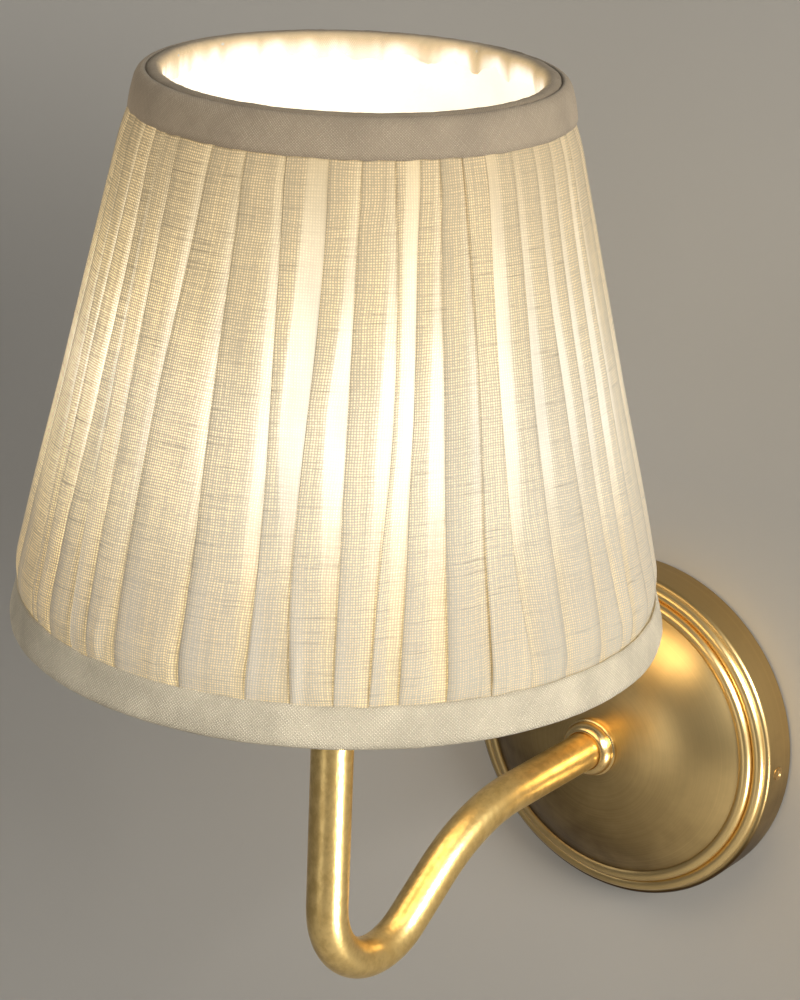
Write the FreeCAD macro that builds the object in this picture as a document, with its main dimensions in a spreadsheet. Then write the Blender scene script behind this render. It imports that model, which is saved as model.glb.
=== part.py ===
import FreeCAD, Part
import math
import os
import Sketcher

# Wall light with a pleated fabric shade clipped on its lamp.
# Millimetres, +Z up. The origin is the centre of the wall bracket, on the wall.
# The wall is the plane y = 0 and the light stands out from it towards -Y.

SIZES = {
    # Wall bracket: a folded steel strip with a tongue for the terminal block
    "bracket_thickness": 1.5,
    "bracket_height": 22.0,
    "bracket_clearance": 0.3,
    "ear_depth": 10.5,
    "cable_hole_radius": 7.0,
    "slot_spacing": 60.0,
    "slot_length": 12.0,
    "slot_radius": 2.25,
    "tongue_width": 27.0,
    "tongue_reach": 33.0,
    # Canopy: spun brass, with two beads round a shallow dome
    "canopy_radius": 50.5,
    "canopy_wall": 1.2,
    "skirt_depth": 12.0,
    "skirt_corner": 1.4,
    "bead_width": 3.4,
    "outer_bead_rise": 1.0,
    "inner_bead_rise": 1.8,
    "bead_fullness": 1.06,
    "dome_height": 11.2,
    "dome_flat_radius": 9.0,
    # Side screws that hold the canopy on the bracket
    "side_screw_depth": 6.6,
    "side_screw_radius": 2.0,
    "side_head_radius": 2.9,
    "side_head_height": 1.4,
    "side_screw_reach": 6.0,
    "driver_slot_width": 0.8,
    "driver_slot_depth": 0.7,
    # Arm: one bent tube with a turned-down thread at each end
    "projection": 150.0,
    "arm_radius": 5.5,
    "arm_bore": 4.3,
    "thread_radius": 5.0,
    "thread_clearance": 0.05,
    "first_bend_reach": 86.0,
    "arm_slope": 36.0,
    "upper_bend_radius": 60.0,
    "lower_bend_radius": 22.5,
    "arm_top": 50.0,
    "top_thread_length": 10.0,
    "wall_thread_length": 10.0,
    # Collar, washer, nut and bush where the arm goes through the canopy
    "collar_radius": 8.5,
    "collar_flange": 1.4,
    "collar_step": 0.5,
    "collar_length": 4.8,
    "collar_nose_radius": 6.4,
    "collar_curve": 3.4,
    "collar_shoulder": 1.0,
    "washer_radius": 8.4,
    "washer_thickness": 0.8,
    "nut_across_flats": 14.0,
    "nut_thickness": 3.0,
    "bush_flange": 1.0,
    "bush_length": 6.0,
    "bush_wall": 0.8,
    # Candle cup, lampholder and candle tube
    "cup_floor_radius": 12.6,
    "cup_radius": 16.6,
    "cup_height": 7.0,
    "cup_wall": 1.2,
    "foot_thickness": 1.5,
    "foot_hub_radius": 7.5,
    "foot_hub_height": 4.8,
    "strap_thickness": 1.0,
    "strap_width": 6.0,
    "strap_height": 28.0,
    "holder_radius": 10.0,
    "holder_bottom": 68.0,
    "holder_floor": 80.0,
    "holder_top": 103.0,
    "terminal_hole_radius": 1.4,
    "terminal_hole_depth": 8.0,
    "terminal_hole_offset": 4.0,
    "socket_radius": 7.55,
    "socket_shell_wall": 0.3,
    "socket_shell_lift": 2.0,
    "contact_radius": 3.0,
    "contact_leaf": 0.6,
    "contact_pip_radius": 1.6,
    "contact_pip_height": 2.0,
    "candle_clearance": 0.35,
    "candle_wall": 1.1,
    "candle_lip": 0.9,
    "candle_lip_width": 2.2,
    "seat_gap": 0.1,
    # Lamp: a candle lamp with a small screw cap
    "cap_radius": 6.95,
    "cap_wall": 0.45,
    "cap_length": 18.8,
    "cap_heel": 1.5,
    "cap_skirt_radius": 8.3,
    "cap_skirt_height": 3.3,
    "insulator_height": 2.6,
    "lamp_pip_radius": 2.2,
    "lamp_pip_height": 1.0,
    "glass_neck_radius": 7.7,
    "glass_radius": 17.5,
    "glass_neck_length": 2.0,
    "glass_neck_height": 29.6,
    "glass_nose_height": 40.6,
    "glass_nose_radius": 2.0,
    "glass_tip": 1.0,
    "glass_wall": 0.8,
    "stem_flare_height": 6.4,
    "stem_radius": 2.0,
    "stem_height": 19.5,
    "filament_count": 4,
    "filament_radius": 0.9,
    "filament_length": 32.0,
    "filament_circle": 4.5,
    "spider_radius": 5.6,
    "spider_thickness": 0.8,
    "spider_rod_radius": 0.6,
    # Clip: two spring wire loops, a crown and a yoke with two pivot ears
    "clip_wire_radius": 0.8,
    "clip_gap": 0.3,
    "loop_spread": 60.0,
    "loop_top_radius": 5.0,
    "crown_gap": 2.4,
    "crown_radius": 7.0,
    "crown_thickness": 1.2,
    "crown_rivet_radius": 1.5,
    "rivet_head_radius": 2.8,
    "rivet_head_height": 1.1,
    "yoke_thickness": 1.2,
    "yoke_width": 8.0,
    "yoke_half_span": 22.0,
    "yoke_bend": 6.0,
    "yoke_below_pivot": 5.0,
    "tilt_height": 150.0,
    "pivot_radius": 1.5,
    "pivot_clearance": 0.05,
    "friction_washer_radius": 3.6,
    "friction_washer_thickness": 0.7,
    # Shade frame: two wire rings, upright struts and two carrier arms
    "shade_bottom": 78.8,
    "shade_height": 137.0,
    "shade_bottom_radius": 80.4,
    "shade_top_radius": 48.9,
    "ring_wire_radius": 1.2,
    "strut_radius": 0.8,
    "strut_count": 6,
    "strut_clearance": 0.1,
    "carrier_wire_radius": 1.2,
    "carrier_rise": 5.8,
    "carrier_tab_thickness": 1.4,
    "carrier_tab_width": 8.0,
    "carrier_tab_above": 8.5,
    "carrier_tab_below": 4.0,
    "lining_slit_clearance": 0.4,
    # Shade cloth: pleated cover, lining and bias-tape trims
    "trim_wall": 0.9,
    "bottom_trim_width": 9.5,
    "top_trim_width": 9.3,
    "trim_round": 1.7,
    "hem_round": 0.9,
    "trim_fullness": 1.12,
    "cover_gap": 0.2,
    "pleat_count": 42,
    "pleat_relief": 1.1,
    "pleat_unevenness": 0.16,
    "slow_wave": 2.4,
    "quick_wave": 5.1,
    "pleat_lap": 0.16,
    "cover_wall": 0.3,
    "lining_wall": 0.5,
    "hem_wall": 0.5,
    "bottom_hem_turn": 6.5,
    "top_hem_turn": 4.2,
    # Terminal block, earth screw and wires
    "block_pitch": 9.0,
    "block_height": 14.0,
    "block_depth": 9.0,
    "block_top": 17.5,
    "block_hole_radius": 1.5,
    "clamp_screw_radius": 1.5,
    "clamp_screw_sink": 0.4,
    "earth_screw_offset": 14.0,
    "earth_screw_radius": 2.0,
    "earth_head_radius": 3.6,
    "earth_head_height": 2.2,
    "wire_radius": 1.1,
    "wire_offset": 1.6,
    "wire_bend": 5.0,
    "wire_lead": 6.5,
    "wire_insert": 5.0,
    "earth_bend": 4.0,
    "tag_thickness": 0.8,
    "tag_barrel_radius": 1.6,
    "tag_barrel_length": 4.8,
    "tag_lead": 3.1,
}

doc = FreeCAD.newDocument("fabric_shade_wall_light")
sheet = doc.addObject("Spreadsheet::Sheet", "Sizes")
for row, (alias, number) in enumerate(SIZES.items(), start=1):
    sheet.set(f"A{row}", alias)
    sheet.set(f"B{row}", str(number))
    sheet.setAlias(f"B{row}", alias)
doc.recompute()


class Size:
    """A cell of the sheet or a formula of cells: its text for an expression and its value."""

    def __init__(self, text, value):
        self.text = text
        self.value = value

    def _join(self, sign, other, value):
        return Size(f"({self.text} {sign} {as_size(other).text})", value)

    def __add__(self, other):
        return self._join("+", other, self.value + as_size(other).value)

    def __sub__(self, other):
        return self._join("-", other, self.value - as_size(other).value)

    def __mul__(self, other):
        return self._join("*", other, self.value * as_size(other).value)

    def __truediv__(self, other):
        return self._join("/", other, self.value / as_size(other).value)

    def __neg__(self):
        return Size(f"(0 - {self.text})", -self.value)

    def __rsub__(self, other):
        return as_size(other) - self


def as_size(number):
    """Give a plain number the form of a Size."""
    if isinstance(number, Size):
        return number
    return Size(repr(number), number)


def root_of(size):
    """Square root of a size."""
    return Size(f"sqrt({size.text})", math.sqrt(size.value))


def tangent(angle):
    """Tangent of an angle that the sheet gives in degrees."""
    return Size(f"tan({angle.text})", math.tan(math.radians(angle.value)))


def sine(angle):
    """Sine of an angle in degrees."""
    return Size(f"sin({angle.text})", math.sin(math.radians(angle.value)))


def cosine(angle):
    """Cosine of an angle in degrees."""
    return Size(f"cos({angle.text})", math.cos(math.radians(angle.value)))


class Cells:
    """The cells of the sheet by name."""

    def __getattr__(self, alias):
        return Size(f"Sizes.{alias}", float(getattr(sheet, alias)))


cell = Cells()
WALL_AXIS = "XY_Plane"
LAMP_AXIS = "XZ_Plane"
ALONG_X = FreeCAD.Rotation(FreeCAD.Vector(0, 1, 0), 90)
ALONG_MINUS_Y = FreeCAD.Rotation(FreeCAD.Vector(1, 0, 0), 90)
UPRIGHT = FreeCAD.Rotation()


class Bend:
    """An arc between two corners of an outline. It bulges left of the way from one to the next."""

    def __init__(self, radius, left=True):
        self.radius = as_size(radius)
        self.left = left


def arc_between(first, last, bend):
    """The sketch arc of a Bend, and whether it runs from first to last."""
    half = (last - first) * 0.5
    radius = bend.radius.value
    rise = math.sqrt(max(radius * radius - half.Length * half.Length, 0.0))
    side = FreeCAD.Vector(-half.y, half.x, 0).normalize()
    centre = first + half + side * (-rise if bend.left else rise)
    start, end = (last, first) if bend.left else (first, last)
    begin = math.atan2(start.y - centre.y, start.x - centre.x)
    finish = math.atan2(end.y - centre.y, end.x - centre.x)
    circle = Part.Circle(centre, FreeCAD.Vector(0, 0, 1), radius)
    return Part.ArcOfCircle(circle, begin, finish), not bend.left


def pin_corner(sketch, geometry, point, corner):
    """Hold one corner of a sketch at its two sizes, or on an axis where a size is 0."""
    for kind, size, axis in (("DistanceX", corner[0], -2), ("DistanceY", corner[1], -1)):
        if isinstance(size, Size):
            held = Sketcher.Constraint(kind, -1, 1, geometry, point, size.value)
            index = sketch.addConstraint(held)
            sketch.setExpression(f"Constraints[{index}]", size.text)
        else:
            sketch.addConstraint(Sketcher.Constraint("PointOnObject", geometry, point, axis))


def draw(sketch, outline, closed=True):
    """Draw an outline of corners and Bends, with every corner and radius bound to the sheet."""
    corners, bends = [], {}
    for item in outline:
        if isinstance(item, Bend):
            bends[len(corners) - 1] = item
        else:
            corners.append(item)
    places = [FreeCAD.Vector(as_size(u).value, as_size(v).value, 0) for u, v in corners]
    edges = len(corners) if closed else len(corners) - 1
    ends = []
    for index in range(edges):
        first, last = places[index], places[(index + 1) % len(corners)]
        if index in bends:
            arc, forward = arc_between(first, last, bends[index])
            geometry = sketch.addGeometry(arc, False)
            held = Sketcher.Constraint("Radius", geometry, bends[index].radius.value)
            number = sketch.addConstraint(held)
            sketch.setExpression(f"Constraints[{number}]", bends[index].radius.text)
            ends.append((geometry, 1, 2) if forward else (geometry, 2, 1))
        else:
            ends.append((sketch.addGeometry(Part.LineSegment(first, last), False), 1, 2))
    for index, (geometry, start, _) in enumerate(ends):
        if closed or index:
            before, _, finish = ends[index - 1]
            sketch.addConstraint(Sketcher.Constraint("Coincident", before, finish, geometry, start))
        pin_corner(sketch, geometry, start, corners[index])
    if not closed:
        pin_corner(sketch, ends[-1][0], ends[-1][2], corners[-1])


def sketch_on(body, name, plane, outline, closed=True):
    """A sketch on one of the body's own origin planes."""
    sketch = body.newObject("Sketcher::SketchObject", name)
    support = [item for item in body.Origin.OriginFeatures if item.Role == plane][0]
    sketch.AttachmentSupport = (support, [""])
    sketch.MapMode = "FlatFace"
    draw(sketch, outline, closed)
    return sketch


def move_to_lamp_axis(item):
    """Place an object that was drawn round the Z axis on the lamp's axis."""
    item.setExpression("Placement.Base.y", f"-{cell.projection.text}")


def turned(label, plane, outline):
    """A turned piece: an outline of (radius, height along the axis) revolved round its axis."""
    body = doc.addObject("PartDesign::Body", label)
    outline_sketch = sketch_on(body, f"{label}_outline", plane, outline)
    turn = body.newObject("PartDesign::Revolution", f"{label}_turn")
    turn.Profile = outline_sketch
    turn.ReferenceAxis = (outline_sketch, ["V_Axis"])
    turn.Angle = 360
    if plane == LAMP_AXIS:
        move_to_lamp_axis(body)
    return body


def padded_plate(label, plane, outline, length, midplane=False, backwards=False):
    """A flat piece: an outline padded to a length."""
    body = doc.addObject("PartDesign::Body", label)
    outline_sketch = sketch_on(body, f"{label}_outline", plane, outline)
    pad = body.newObject("PartDesign::Pad", f"{label}_pad")
    pad.Profile = outline_sketch
    pad.setExpression("Length", length.text)
    pad.Midplane = midplane
    pad.Reversed = backwards
    return body


def primitive(kind, label, sizes, place=(0, 0, 0), turn=UPRIGHT):
    """A Part primitive with its sizes and its place bound to the sheet."""
    item = doc.addObject(f"Part::{kind}", label)
    for name, size in sizes.items():
        item.setExpression(name, as_size(size).text)
    item.Placement = FreeCAD.Placement(FreeCAD.Vector(), turn)
    for axis, size in zip("xyz", place):
        if isinstance(size, Size):
            item.setExpression(f"Placement.Base.{axis}", size.text)
    return item


def rod(label, radius, length, place=(0, 0, 0), turn=UPRIGHT):
    """A round bar from its place along the turned Z axis."""
    return primitive("Cylinder", label, {"Radius": radius, "Height": length}, place, turn)


def block(label, low, high):
    """A box between two corners."""
    spans = [top - bottom for bottom, top in zip(map(as_size, low), map(as_size, high))]
    sizes = dict(zip(("Length", "Width", "Height"), spans))
    return primitive("Box", label, sizes, [as_size(size) for size in low])


def joined(label, *pieces):
    """Several objects fused into one solid."""
    fuse = doc.addObject("Part::MultiFuse", label)
    fuse.Shapes = list(pieces)
    return fuse


def cut(label, base, *tools):
    """A solid less its tools."""
    tool = tools[0] if len(tools) == 1 else joined(f"{label}_tools", *tools)
    difference = doc.addObject("Part::Cut", label)
    difference.Base = base
    difference.Tool = tool
    return difference


def grouped(label, *pieces):
    """Separate solids that share one node."""
    group = doc.addObject("Part::Compound", label)
    group.Links = list(pieces)
    return group


def shaped(label, shape):
    """A piece whose shape is worked out here, with its place in the shape."""
    feature = doc.addObject("Part::Feature", label)
    feature.Shape = shape
    feature.Placement = FreeCAD.Placement()
    return feature


def rounded_path(points, radii):
    """A wire of straight runs through points, joined by tangent arcs of the given radii."""
    edges, start = [], points[0]
    for index, radius in enumerate(radii, start=1):
        corner = points[index]
        to_before = (points[index - 1] - corner).normalize()
        to_next = (points[index + 1] - corner).normalize()
        half_turn = (math.pi - to_before.getAngle(to_next)) / 2
        reach = radius * math.tan(half_turn)
        arc_start, arc_end = corner + to_before * reach, corner + to_next * reach
        bisector = (to_before + to_next).normalize()
        middle = corner + bisector * (radius / math.cos(half_turn) - radius)
        if start.distanceToPoint(arc_start) > Part.Vertex(start).Tolerance:
            edges.append(Part.LineSegment(start, arc_start).toShape())
        edges.append(Part.Arc(arc_start, middle, arc_end).toShape())
        start = arc_end
    edges.append(Part.LineSegment(start, points[-1]).toShape())
    return Part.Wire(edges)


def wire_along(points, radii, radius):
    """A round wire swept along a rounded path."""
    path = rounded_path(points, radii)
    direction = (points[1] - points[0]).normalize()
    section = Part.Wire(Part.Circle(points[0], direction, radius).toShape())
    return path.makePipeShell([section], True, False)


nodes = []


def keep(item):
    """List an object as a sub-part of the light."""
    nodes.append(item)
    return item


# ---------------------------------------------------------------- canopy on the wall
skirt_inside = cell.canopy_radius - cell.canopy_wall
bead_foot = cell.canopy_radius - cell.skirt_corner
groove_radius = bead_foot - cell.bead_width
groove_depth = cell.skirt_depth + cell.outer_bead_rise
dome_edge_radius = groove_radius - cell.bead_width
dome_edge_depth = groove_depth + cell.inner_bead_rise
canopy_depth = dome_edge_depth + cell.dome_height
canopy_inside_depth = canopy_depth - cell.canopy_wall
arm_hole_radius = cell.thread_radius + cell.thread_clearance


def bead_curve(rise):
    """Radius of a bead's arc: a little more than half the chord between its two feet."""
    return root_of(cell.bead_width * cell.bead_width + rise * rise) * cell.bead_fullness / 2


dome_run = dome_edge_radius - cell.dome_flat_radius
dome_curve = (dome_run * dome_run + cell.dome_height * cell.dome_height) / (cell.dome_height * 2)
canopy_shell = turned("canopy_shell", WALL_AXIS, [
    (cell.canopy_radius, 0),
    (cell.canopy_radius, cell.skirt_corner - cell.skirt_depth), Bend(cell.skirt_corner),
    (bead_foot, -cell.skirt_depth), Bend(bead_curve(cell.outer_bead_rise)),
    (groove_radius, -groove_depth), Bend(bead_curve(cell.inner_bead_rise)),
    (dome_edge_radius, -dome_edge_depth), Bend(dome_curve),
    (cell.dome_flat_radius, -canopy_depth),
    (arm_hole_radius, -canopy_depth),
    (arm_hole_radius, -canopy_inside_depth),
    (cell.dome_flat_radius, -canopy_inside_depth), Bend(dome_curve, False),
    (dome_edge_radius, cell.canopy_wall - dome_edge_depth),
    (groove_radius, cell.canopy_wall - groove_depth),
    (skirt_inside, cell.canopy_wall - cell.skirt_depth),
    (skirt_inside, 0),
])
side_hole = rod("side_hole", cell.side_screw_radius + cell.thread_clearance, cell.canopy_radius * 2,
                (-cell.canopy_radius, -cell.side_screw_depth, 0), ALONG_X)
keep(cut("canopy", canopy_shell, side_hole))

# ---------------------------------------------------------------- wall bracket
half_height = cell.bracket_height / 2
bracket_reach = skirt_inside - cell.bracket_clearance
ear_outside = root_of(bracket_reach * bracket_reach - half_height * half_height)
ear_inside = ear_outside - cell.bracket_thickness
strip = block("strip", (-ear_outside, -cell.bracket_thickness, -half_height),
              (ear_outside, 0, half_height))
tongue = block("tongue", (-cell.tongue_width / 2, -cell.bracket_thickness, -cell.tongue_reach),
               (cell.tongue_width / 2, 0, -half_height))
ears = [block(f"ear_{side}", (low, -cell.ear_depth, -half_height), (high, 0, half_height))
        for side, low, high in (("left", -ear_outside, -ear_inside), ("right", ear_inside, ear_outside))]
through = cell.bracket_thickness * 3
cable_hole = rod("cable_hole", cell.cable_hole_radius, through, (0, cell.bracket_thickness, 0),
                 ALONG_MINUS_Y)
straight_of_slot = cell.slot_length / 2 - cell.slot_radius
slots = []
for side, middle in (("left", -cell.slot_spacing / 2), ("right", cell.slot_spacing / 2)):
    slots.append(block(f"slot_{side}", (middle - straight_of_slot, -through, -cell.slot_radius),
                       (middle + straight_of_slot, through, cell.slot_radius)))
    for end, place in (("near", middle - straight_of_slot), ("far", middle + straight_of_slot)):
        slots.append(rod(f"slot_{side}_{end}", cell.slot_radius, through,
                         (place, cell.bracket_thickness, 0), ALONG_MINUS_Y))
ear_hole = rod("ear_hole", cell.side_screw_radius, ear_outside * 2,
               (-ear_outside, -cell.side_screw_depth, 0), ALONG_X)
earth_hole = rod("earth_hole", cell.earth_screw_radius, through,
                 (cell.earth_screw_offset, cell.bracket_thickness, 0), ALONG_MINUS_Y)
bracket_blank = joined("bracket_blank", strip, tongue, *ears)
keep(cut("wall_bracket", bracket_blank, cable_hole, ear_hole, earth_hole, *slots))


def side_screw(side, sign):
    """A slotted screw through the skirt into one ear of the bracket."""
    turn = FreeCAD.Rotation(FreeCAD.Vector(0, 1, 0), 90 * sign)
    reach = (cell.canopy_radius - cell.side_screw_reach) * sign
    shank = rod(f"side_shank_{side}", cell.side_screw_radius, cell.side_screw_reach,
                (reach, -cell.side_screw_depth, 0), turn)
    head = rod(f"side_head_{side}", cell.side_head_radius, cell.side_head_height,
               (cell.canopy_radius * sign, -cell.side_screw_depth, 0), turn)
    head_end = (cell.canopy_radius + cell.side_head_height) * sign
    slot_end = head_end - cell.driver_slot_depth * sign
    low, high = (slot_end, head_end) if sign > 0 else (head_end, slot_end)
    driver_slot = block(f"side_driver_{side}",
                        (low, -(cell.side_screw_depth + cell.side_head_radius),
                         -cell.driver_slot_width / 2),
                        (high, cell.side_head_radius - cell.side_screw_depth,
                         cell.driver_slot_width / 2))
    return cut(f"side_screw_{side}", joined(f"side_blank_{side}", shank, head), driver_slot)


keep(grouped("canopy_side_screws", side_screw("left", -1), side_screw("right", 1)))

# ---------------------------------------------------------------- arm
shoulder_depth = canopy_depth + cell.collar_shoulder
drop = (cell.projection - cell.first_bend_reach) * tangent(cell.arm_slope)
first_tangent = cell.upper_bend_radius * tangent(cell.arm_slope / 2)
second_turn = (cell.arm_slope + 90) / 2
second_tangent = cell.lower_bend_radius * tangent(second_turn)
arm_body = doc.addObject("PartDesign::Body", "arm_bends")
arm_route = sketch_on(arm_body, "arm_route", "YZ_Plane", [
    (-shoulder_depth, 0),
    (first_tangent - cell.first_bend_reach, 0), Bend(cell.upper_bend_radius, False),
    (-(cell.first_bend_reach + first_tangent * cosine(cell.arm_slope)),
     -(first_tangent * sine(cell.arm_slope))),
    (second_tangent * cosine(cell.arm_slope) - cell.projection,
     second_tangent * sine(cell.arm_slope) - drop), Bend(cell.lower_bend_radius),
    (-cell.projection, second_tangent - drop),
    (-cell.projection, cell.arm_top),
], closed=False)
arm_section = arm_body.newObject("Sketcher::SketchObject", "arm_section")
wall_plane = [item for item in arm_body.Origin.OriginFeatures if item.Role == "XZ_Plane"][0]
arm_section.AttachmentSupport = (wall_plane, [""])
arm_section.MapMode = "FlatFace"
arm_section.setExpression("AttachmentOffset.Base.z", shoulder_depth.text)
for index, radius in enumerate((cell.arm_radius, cell.arm_bore)):
    centre = FreeCAD.Vector(0, 0, 0)
    circle = Part.Circle(centre, FreeCAD.Vector(0, 0, 1), radius.value)
    geometry = arm_section.addGeometry(circle, False)
    arm_section.addConstraint(Sketcher.Constraint("Coincident", geometry, 3, -1, 1))
    held = arm_section.addConstraint(Sketcher.Constraint("Radius", geometry, radius.value))
    arm_section.setExpression(f"Constraints[{held}]", radius.text)
arm_pipe = arm_body.newObject("PartDesign::AdditivePipe", "arm_pipe")
arm_pipe.Profile = arm_section
arm_pipe.Spine = (arm_route, [])
thread_tail = shoulder_depth - cell.wall_thread_length
wall_thread = cut("wall_thread",
                  rod("wall_thread_blank", cell.thread_radius, cell.wall_thread_length,
                      (0, -thread_tail, 0), ALONG_MINUS_Y),
                  rod("wall_thread_bore", cell.arm_bore, cell.wall_thread_length,
                      (0, -thread_tail, 0), ALONG_MINUS_Y))
thread_end = cell.arm_top + cell.top_thread_length
top_thread = cut("top_thread",
                 rod("top_thread_blank", cell.thread_radius, cell.top_thread_length,
                     (0, -cell.projection, cell.arm_top)),
                 rod("top_thread_bore", cell.arm_bore, cell.top_thread_length,
                     (0, -cell.projection, cell.arm_top)))
keep(joined("arm_tube", arm_body, wall_thread, top_thread))

# ---------------------------------------------------------------- collar, washer, nut and bush
collar_bore = cell.arm_radius + cell.thread_clearance
flange_front = canopy_depth + cell.collar_flange
collar_front = canopy_depth + cell.collar_length
keep(turned("arm_collar", WALL_AXIS, [
    (arm_hole_radius, -canopy_depth),
    (cell.collar_radius, -canopy_depth),
    (cell.collar_radius, -flange_front),
    (cell.collar_radius - cell.collar_step, -flange_front), Bend(cell.collar_curve),
    (cell.collar_nose_radius, -collar_front),
    (collar_bore, -collar_front),
    (collar_bore, -shoulder_depth),
    (arm_hole_radius, -shoulder_depth),
]))
washer_front = canopy_inside_depth
washer_back = washer_front - cell.washer_thickness
keep(turned("lock_washer", WALL_AXIS, [
    (arm_hole_radius, -washer_front),
    (cell.washer_radius, -washer_front),
    (cell.washer_radius, -washer_back),
    (arm_hole_radius, -washer_back),
]))
nut_blank = primitive("Prism", "arm_nut_blank",
                      {"Circumradius": cell.nut_across_flats / 2 / cosine(as_size(30)),
                       "Height": cell.nut_thickness},
                      (0, cell.nut_thickness - washer_back, 0), ALONG_MINUS_Y)
nut_blank.Polygon = 6
nut_bore = rod("arm_nut_bore", arm_hole_radius, cell.nut_thickness * 3,
               (0, cell.nut_thickness * 2 - washer_back, 0), ALONG_MINUS_Y)
keep(cut("arm_nut", nut_blank, nut_bore))
bush_radius = cell.arm_bore - cell.thread_clearance
keep(turned("tube_bush", WALL_AXIS, [
    (bush_radius - cell.bush_wall, cell.bush_flange - thread_tail),
    (cell.thread_radius, cell.bush_flange - thread_tail),
    (cell.thread_radius, -thread_tail),
    (bush_radius, -thread_tail),
    (bush_radius, -(thread_tail + cell.bush_length)),
    (bush_radius - cell.bush_wall, -(thread_tail + cell.bush_length)),
]))

# ---------------------------------------------------------------- candle cup and lampholder
cup_floor = cell.arm_top + cell.cup_wall
cup_rim = cell.arm_top + cell.cup_height
cup_flare = (cell.cup_radius - cell.cup_floor_radius) * 2
keep(turned("candle_cup", LAMP_AXIS, [
    (arm_hole_radius, cell.arm_top),
    (cell.cup_floor_radius, cell.arm_top), Bend(cup_flare, False),
    (cell.cup_radius, cup_rim),
    (cell.cup_radius - cell.cup_wall, cup_rim), Bend(cup_flare),
    (cell.cup_floor_radius, cup_floor),
    (arm_hole_radius, cup_floor),
]))
foot_radius = cell.holder_radius + cell.thread_clearance + cell.strap_thickness
foot_body = turned("foot_turning", LAMP_AXIS, [
    (arm_hole_radius, cup_floor),
    (foot_radius, cup_floor),
    (foot_radius, cup_floor + cell.foot_thickness),
    (cell.foot_hub_radius, cup_floor + cell.foot_thickness),
    (cell.foot_hub_radius, cup_floor + cell.foot_hub_height),
    (arm_hole_radius, cup_floor + cell.foot_hub_height),
])
strap_inside = cell.holder_radius + cell.thread_clearance
strap_ring = cut("strap_ring",
                 rod("strap_ring_blank", foot_radius, cell.strap_height,
                     (0, -cell.projection, cup_floor)),
                 rod("strap_ring_bore", strap_inside, cell.strap_height,
                     (0, -cell.projection, cup_floor)))
strap_width = block("strap_width",
                    (strap_inside / 2, -(cell.projection + cell.strap_width / 2), cup_floor),
                    (foot_radius, cell.strap_width / 2 - cell.projection,
                     cup_floor + cell.strap_height))
strap = doc.addObject("Part::Common", "strap")
strap.Base = strap_ring
strap.Tool = strap_width
keep(joined("holder_bracket", foot_body, strap))
holder_blank = turned("holder_blank", LAMP_AXIS, [
    (0, cell.holder_bottom),
    (cell.holder_radius, cell.holder_bottom),
    (cell.holder_radius, cell.holder_top),
    (cell.socket_radius, cell.holder_top),
    (cell.socket_radius, cell.holder_floor),
    (0, cell.holder_floor),
])
terminal_holes = [rod(f"terminal_hole_{side}", cell.terminal_hole_radius, cell.terminal_hole_depth,
                      (cell.terminal_hole_offset * sign, -cell.projection, cell.holder_bottom))
                  for side, sign in (("live", 1), ("neutral", -1))]
keep(cut("lampholder_body", holder_blank, *terminal_holes))
socket_outside = cell.socket_radius - cell.thread_clearance
socket_inside = socket_outside - cell.socket_shell_wall
socket_bottom = cell.holder_floor + cell.socket_shell_lift
keep(turned("lampholder_shell", LAMP_AXIS, [
    (socket_inside, socket_bottom),
    (socket_outside, socket_bottom),
    (socket_outside, cell.holder_top),
    (socket_inside, cell.holder_top),
]))
pip_top = cell.holder_floor + cell.contact_pip_height
keep(turned("centre_contact", LAMP_AXIS, [
    (0, cell.holder_floor),
    (cell.contact_radius, cell.holder_floor),
    (cell.contact_radius, cell.holder_floor + cell.contact_leaf),
    (cell.contact_pip_radius, cell.holder_floor + cell.contact_leaf),
    (cell.contact_pip_radius, pip_top),
    (0, pip_top),
]))
candle_inside = foot_radius + cell.candle_clearance
candle_outside = candle_inside + cell.candle_wall
candle_under_lip = cell.holder_top + cell.seat_gap
candle_top = candle_under_lip + cell.candle_lip
keep(turned("candle_tube", LAMP_AXIS, [
    (candle_inside, cup_floor),
    (candle_outside, cup_floor),
    (candle_outside, candle_top),
    (candle_inside - cell.candle_lip_width, candle_top),
    (candle_inside - cell.candle_lip_width, candle_under_lip),
    (candle_inside, candle_under_lip),
]))

# ---------------------------------------------------------------- lamp
lamp_pip_bottom = pip_top + cell.seat_gap
insulator_bottom = lamp_pip_bottom + cell.lamp_pip_height
cap_bottom = insulator_bottom + cell.insulator_height - cell.seat_gap
cap_top = cap_bottom + cell.cap_length
skirt_top = cap_top + cell.cap_skirt_height
cap_inside = cell.cap_radius - cell.cap_wall
skirt_under = cell.cap_skirt_radius - cell.cap_wall
keep(turned("lamp_contact", LAMP_AXIS, [
    (0, lamp_pip_bottom),
    (cell.lamp_pip_radius, lamp_pip_bottom),
    (cell.lamp_pip_radius, insulator_bottom),
    (0, insulator_bottom),
]))
keep(turned("lamp_insulator", LAMP_AXIS, [
    (0, insulator_bottom),
    (cell.lamp_pip_radius, insulator_bottom),
    (cap_inside - cell.cap_heel, cap_bottom),
    (cap_inside - cell.cap_heel, insulator_bottom + cell.insulator_height),
    (0, insulator_bottom + cell.insulator_height),
]))
keep(turned("lamp_cap", LAMP_AXIS, [
    (cap_inside - cell.cap_heel, cap_bottom),
    (cell.cap_radius, cap_bottom + cell.cap_heel),
    (cell.cap_radius, cap_top),
    (cell.cap_skirt_radius, cap_top + cell.cap_heel),
    (cell.cap_skirt_radius, skirt_top),
    (skirt_under, skirt_top),
    (skirt_under, cap_top + cell.cap_heel),
    (cap_inside, cap_top + cell.cap_wall),
    (cap_inside, cap_bottom + cell.cap_heel),
    (cap_inside - cell.cap_heel, cap_bottom + cell.cap_wall),
]))
neck_height = cap_top + cell.cap_heel + cell.seat_gap
neck_top = neck_height + cell.glass_neck_length
widest_height = neck_top + cell.glass_neck_height
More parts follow.
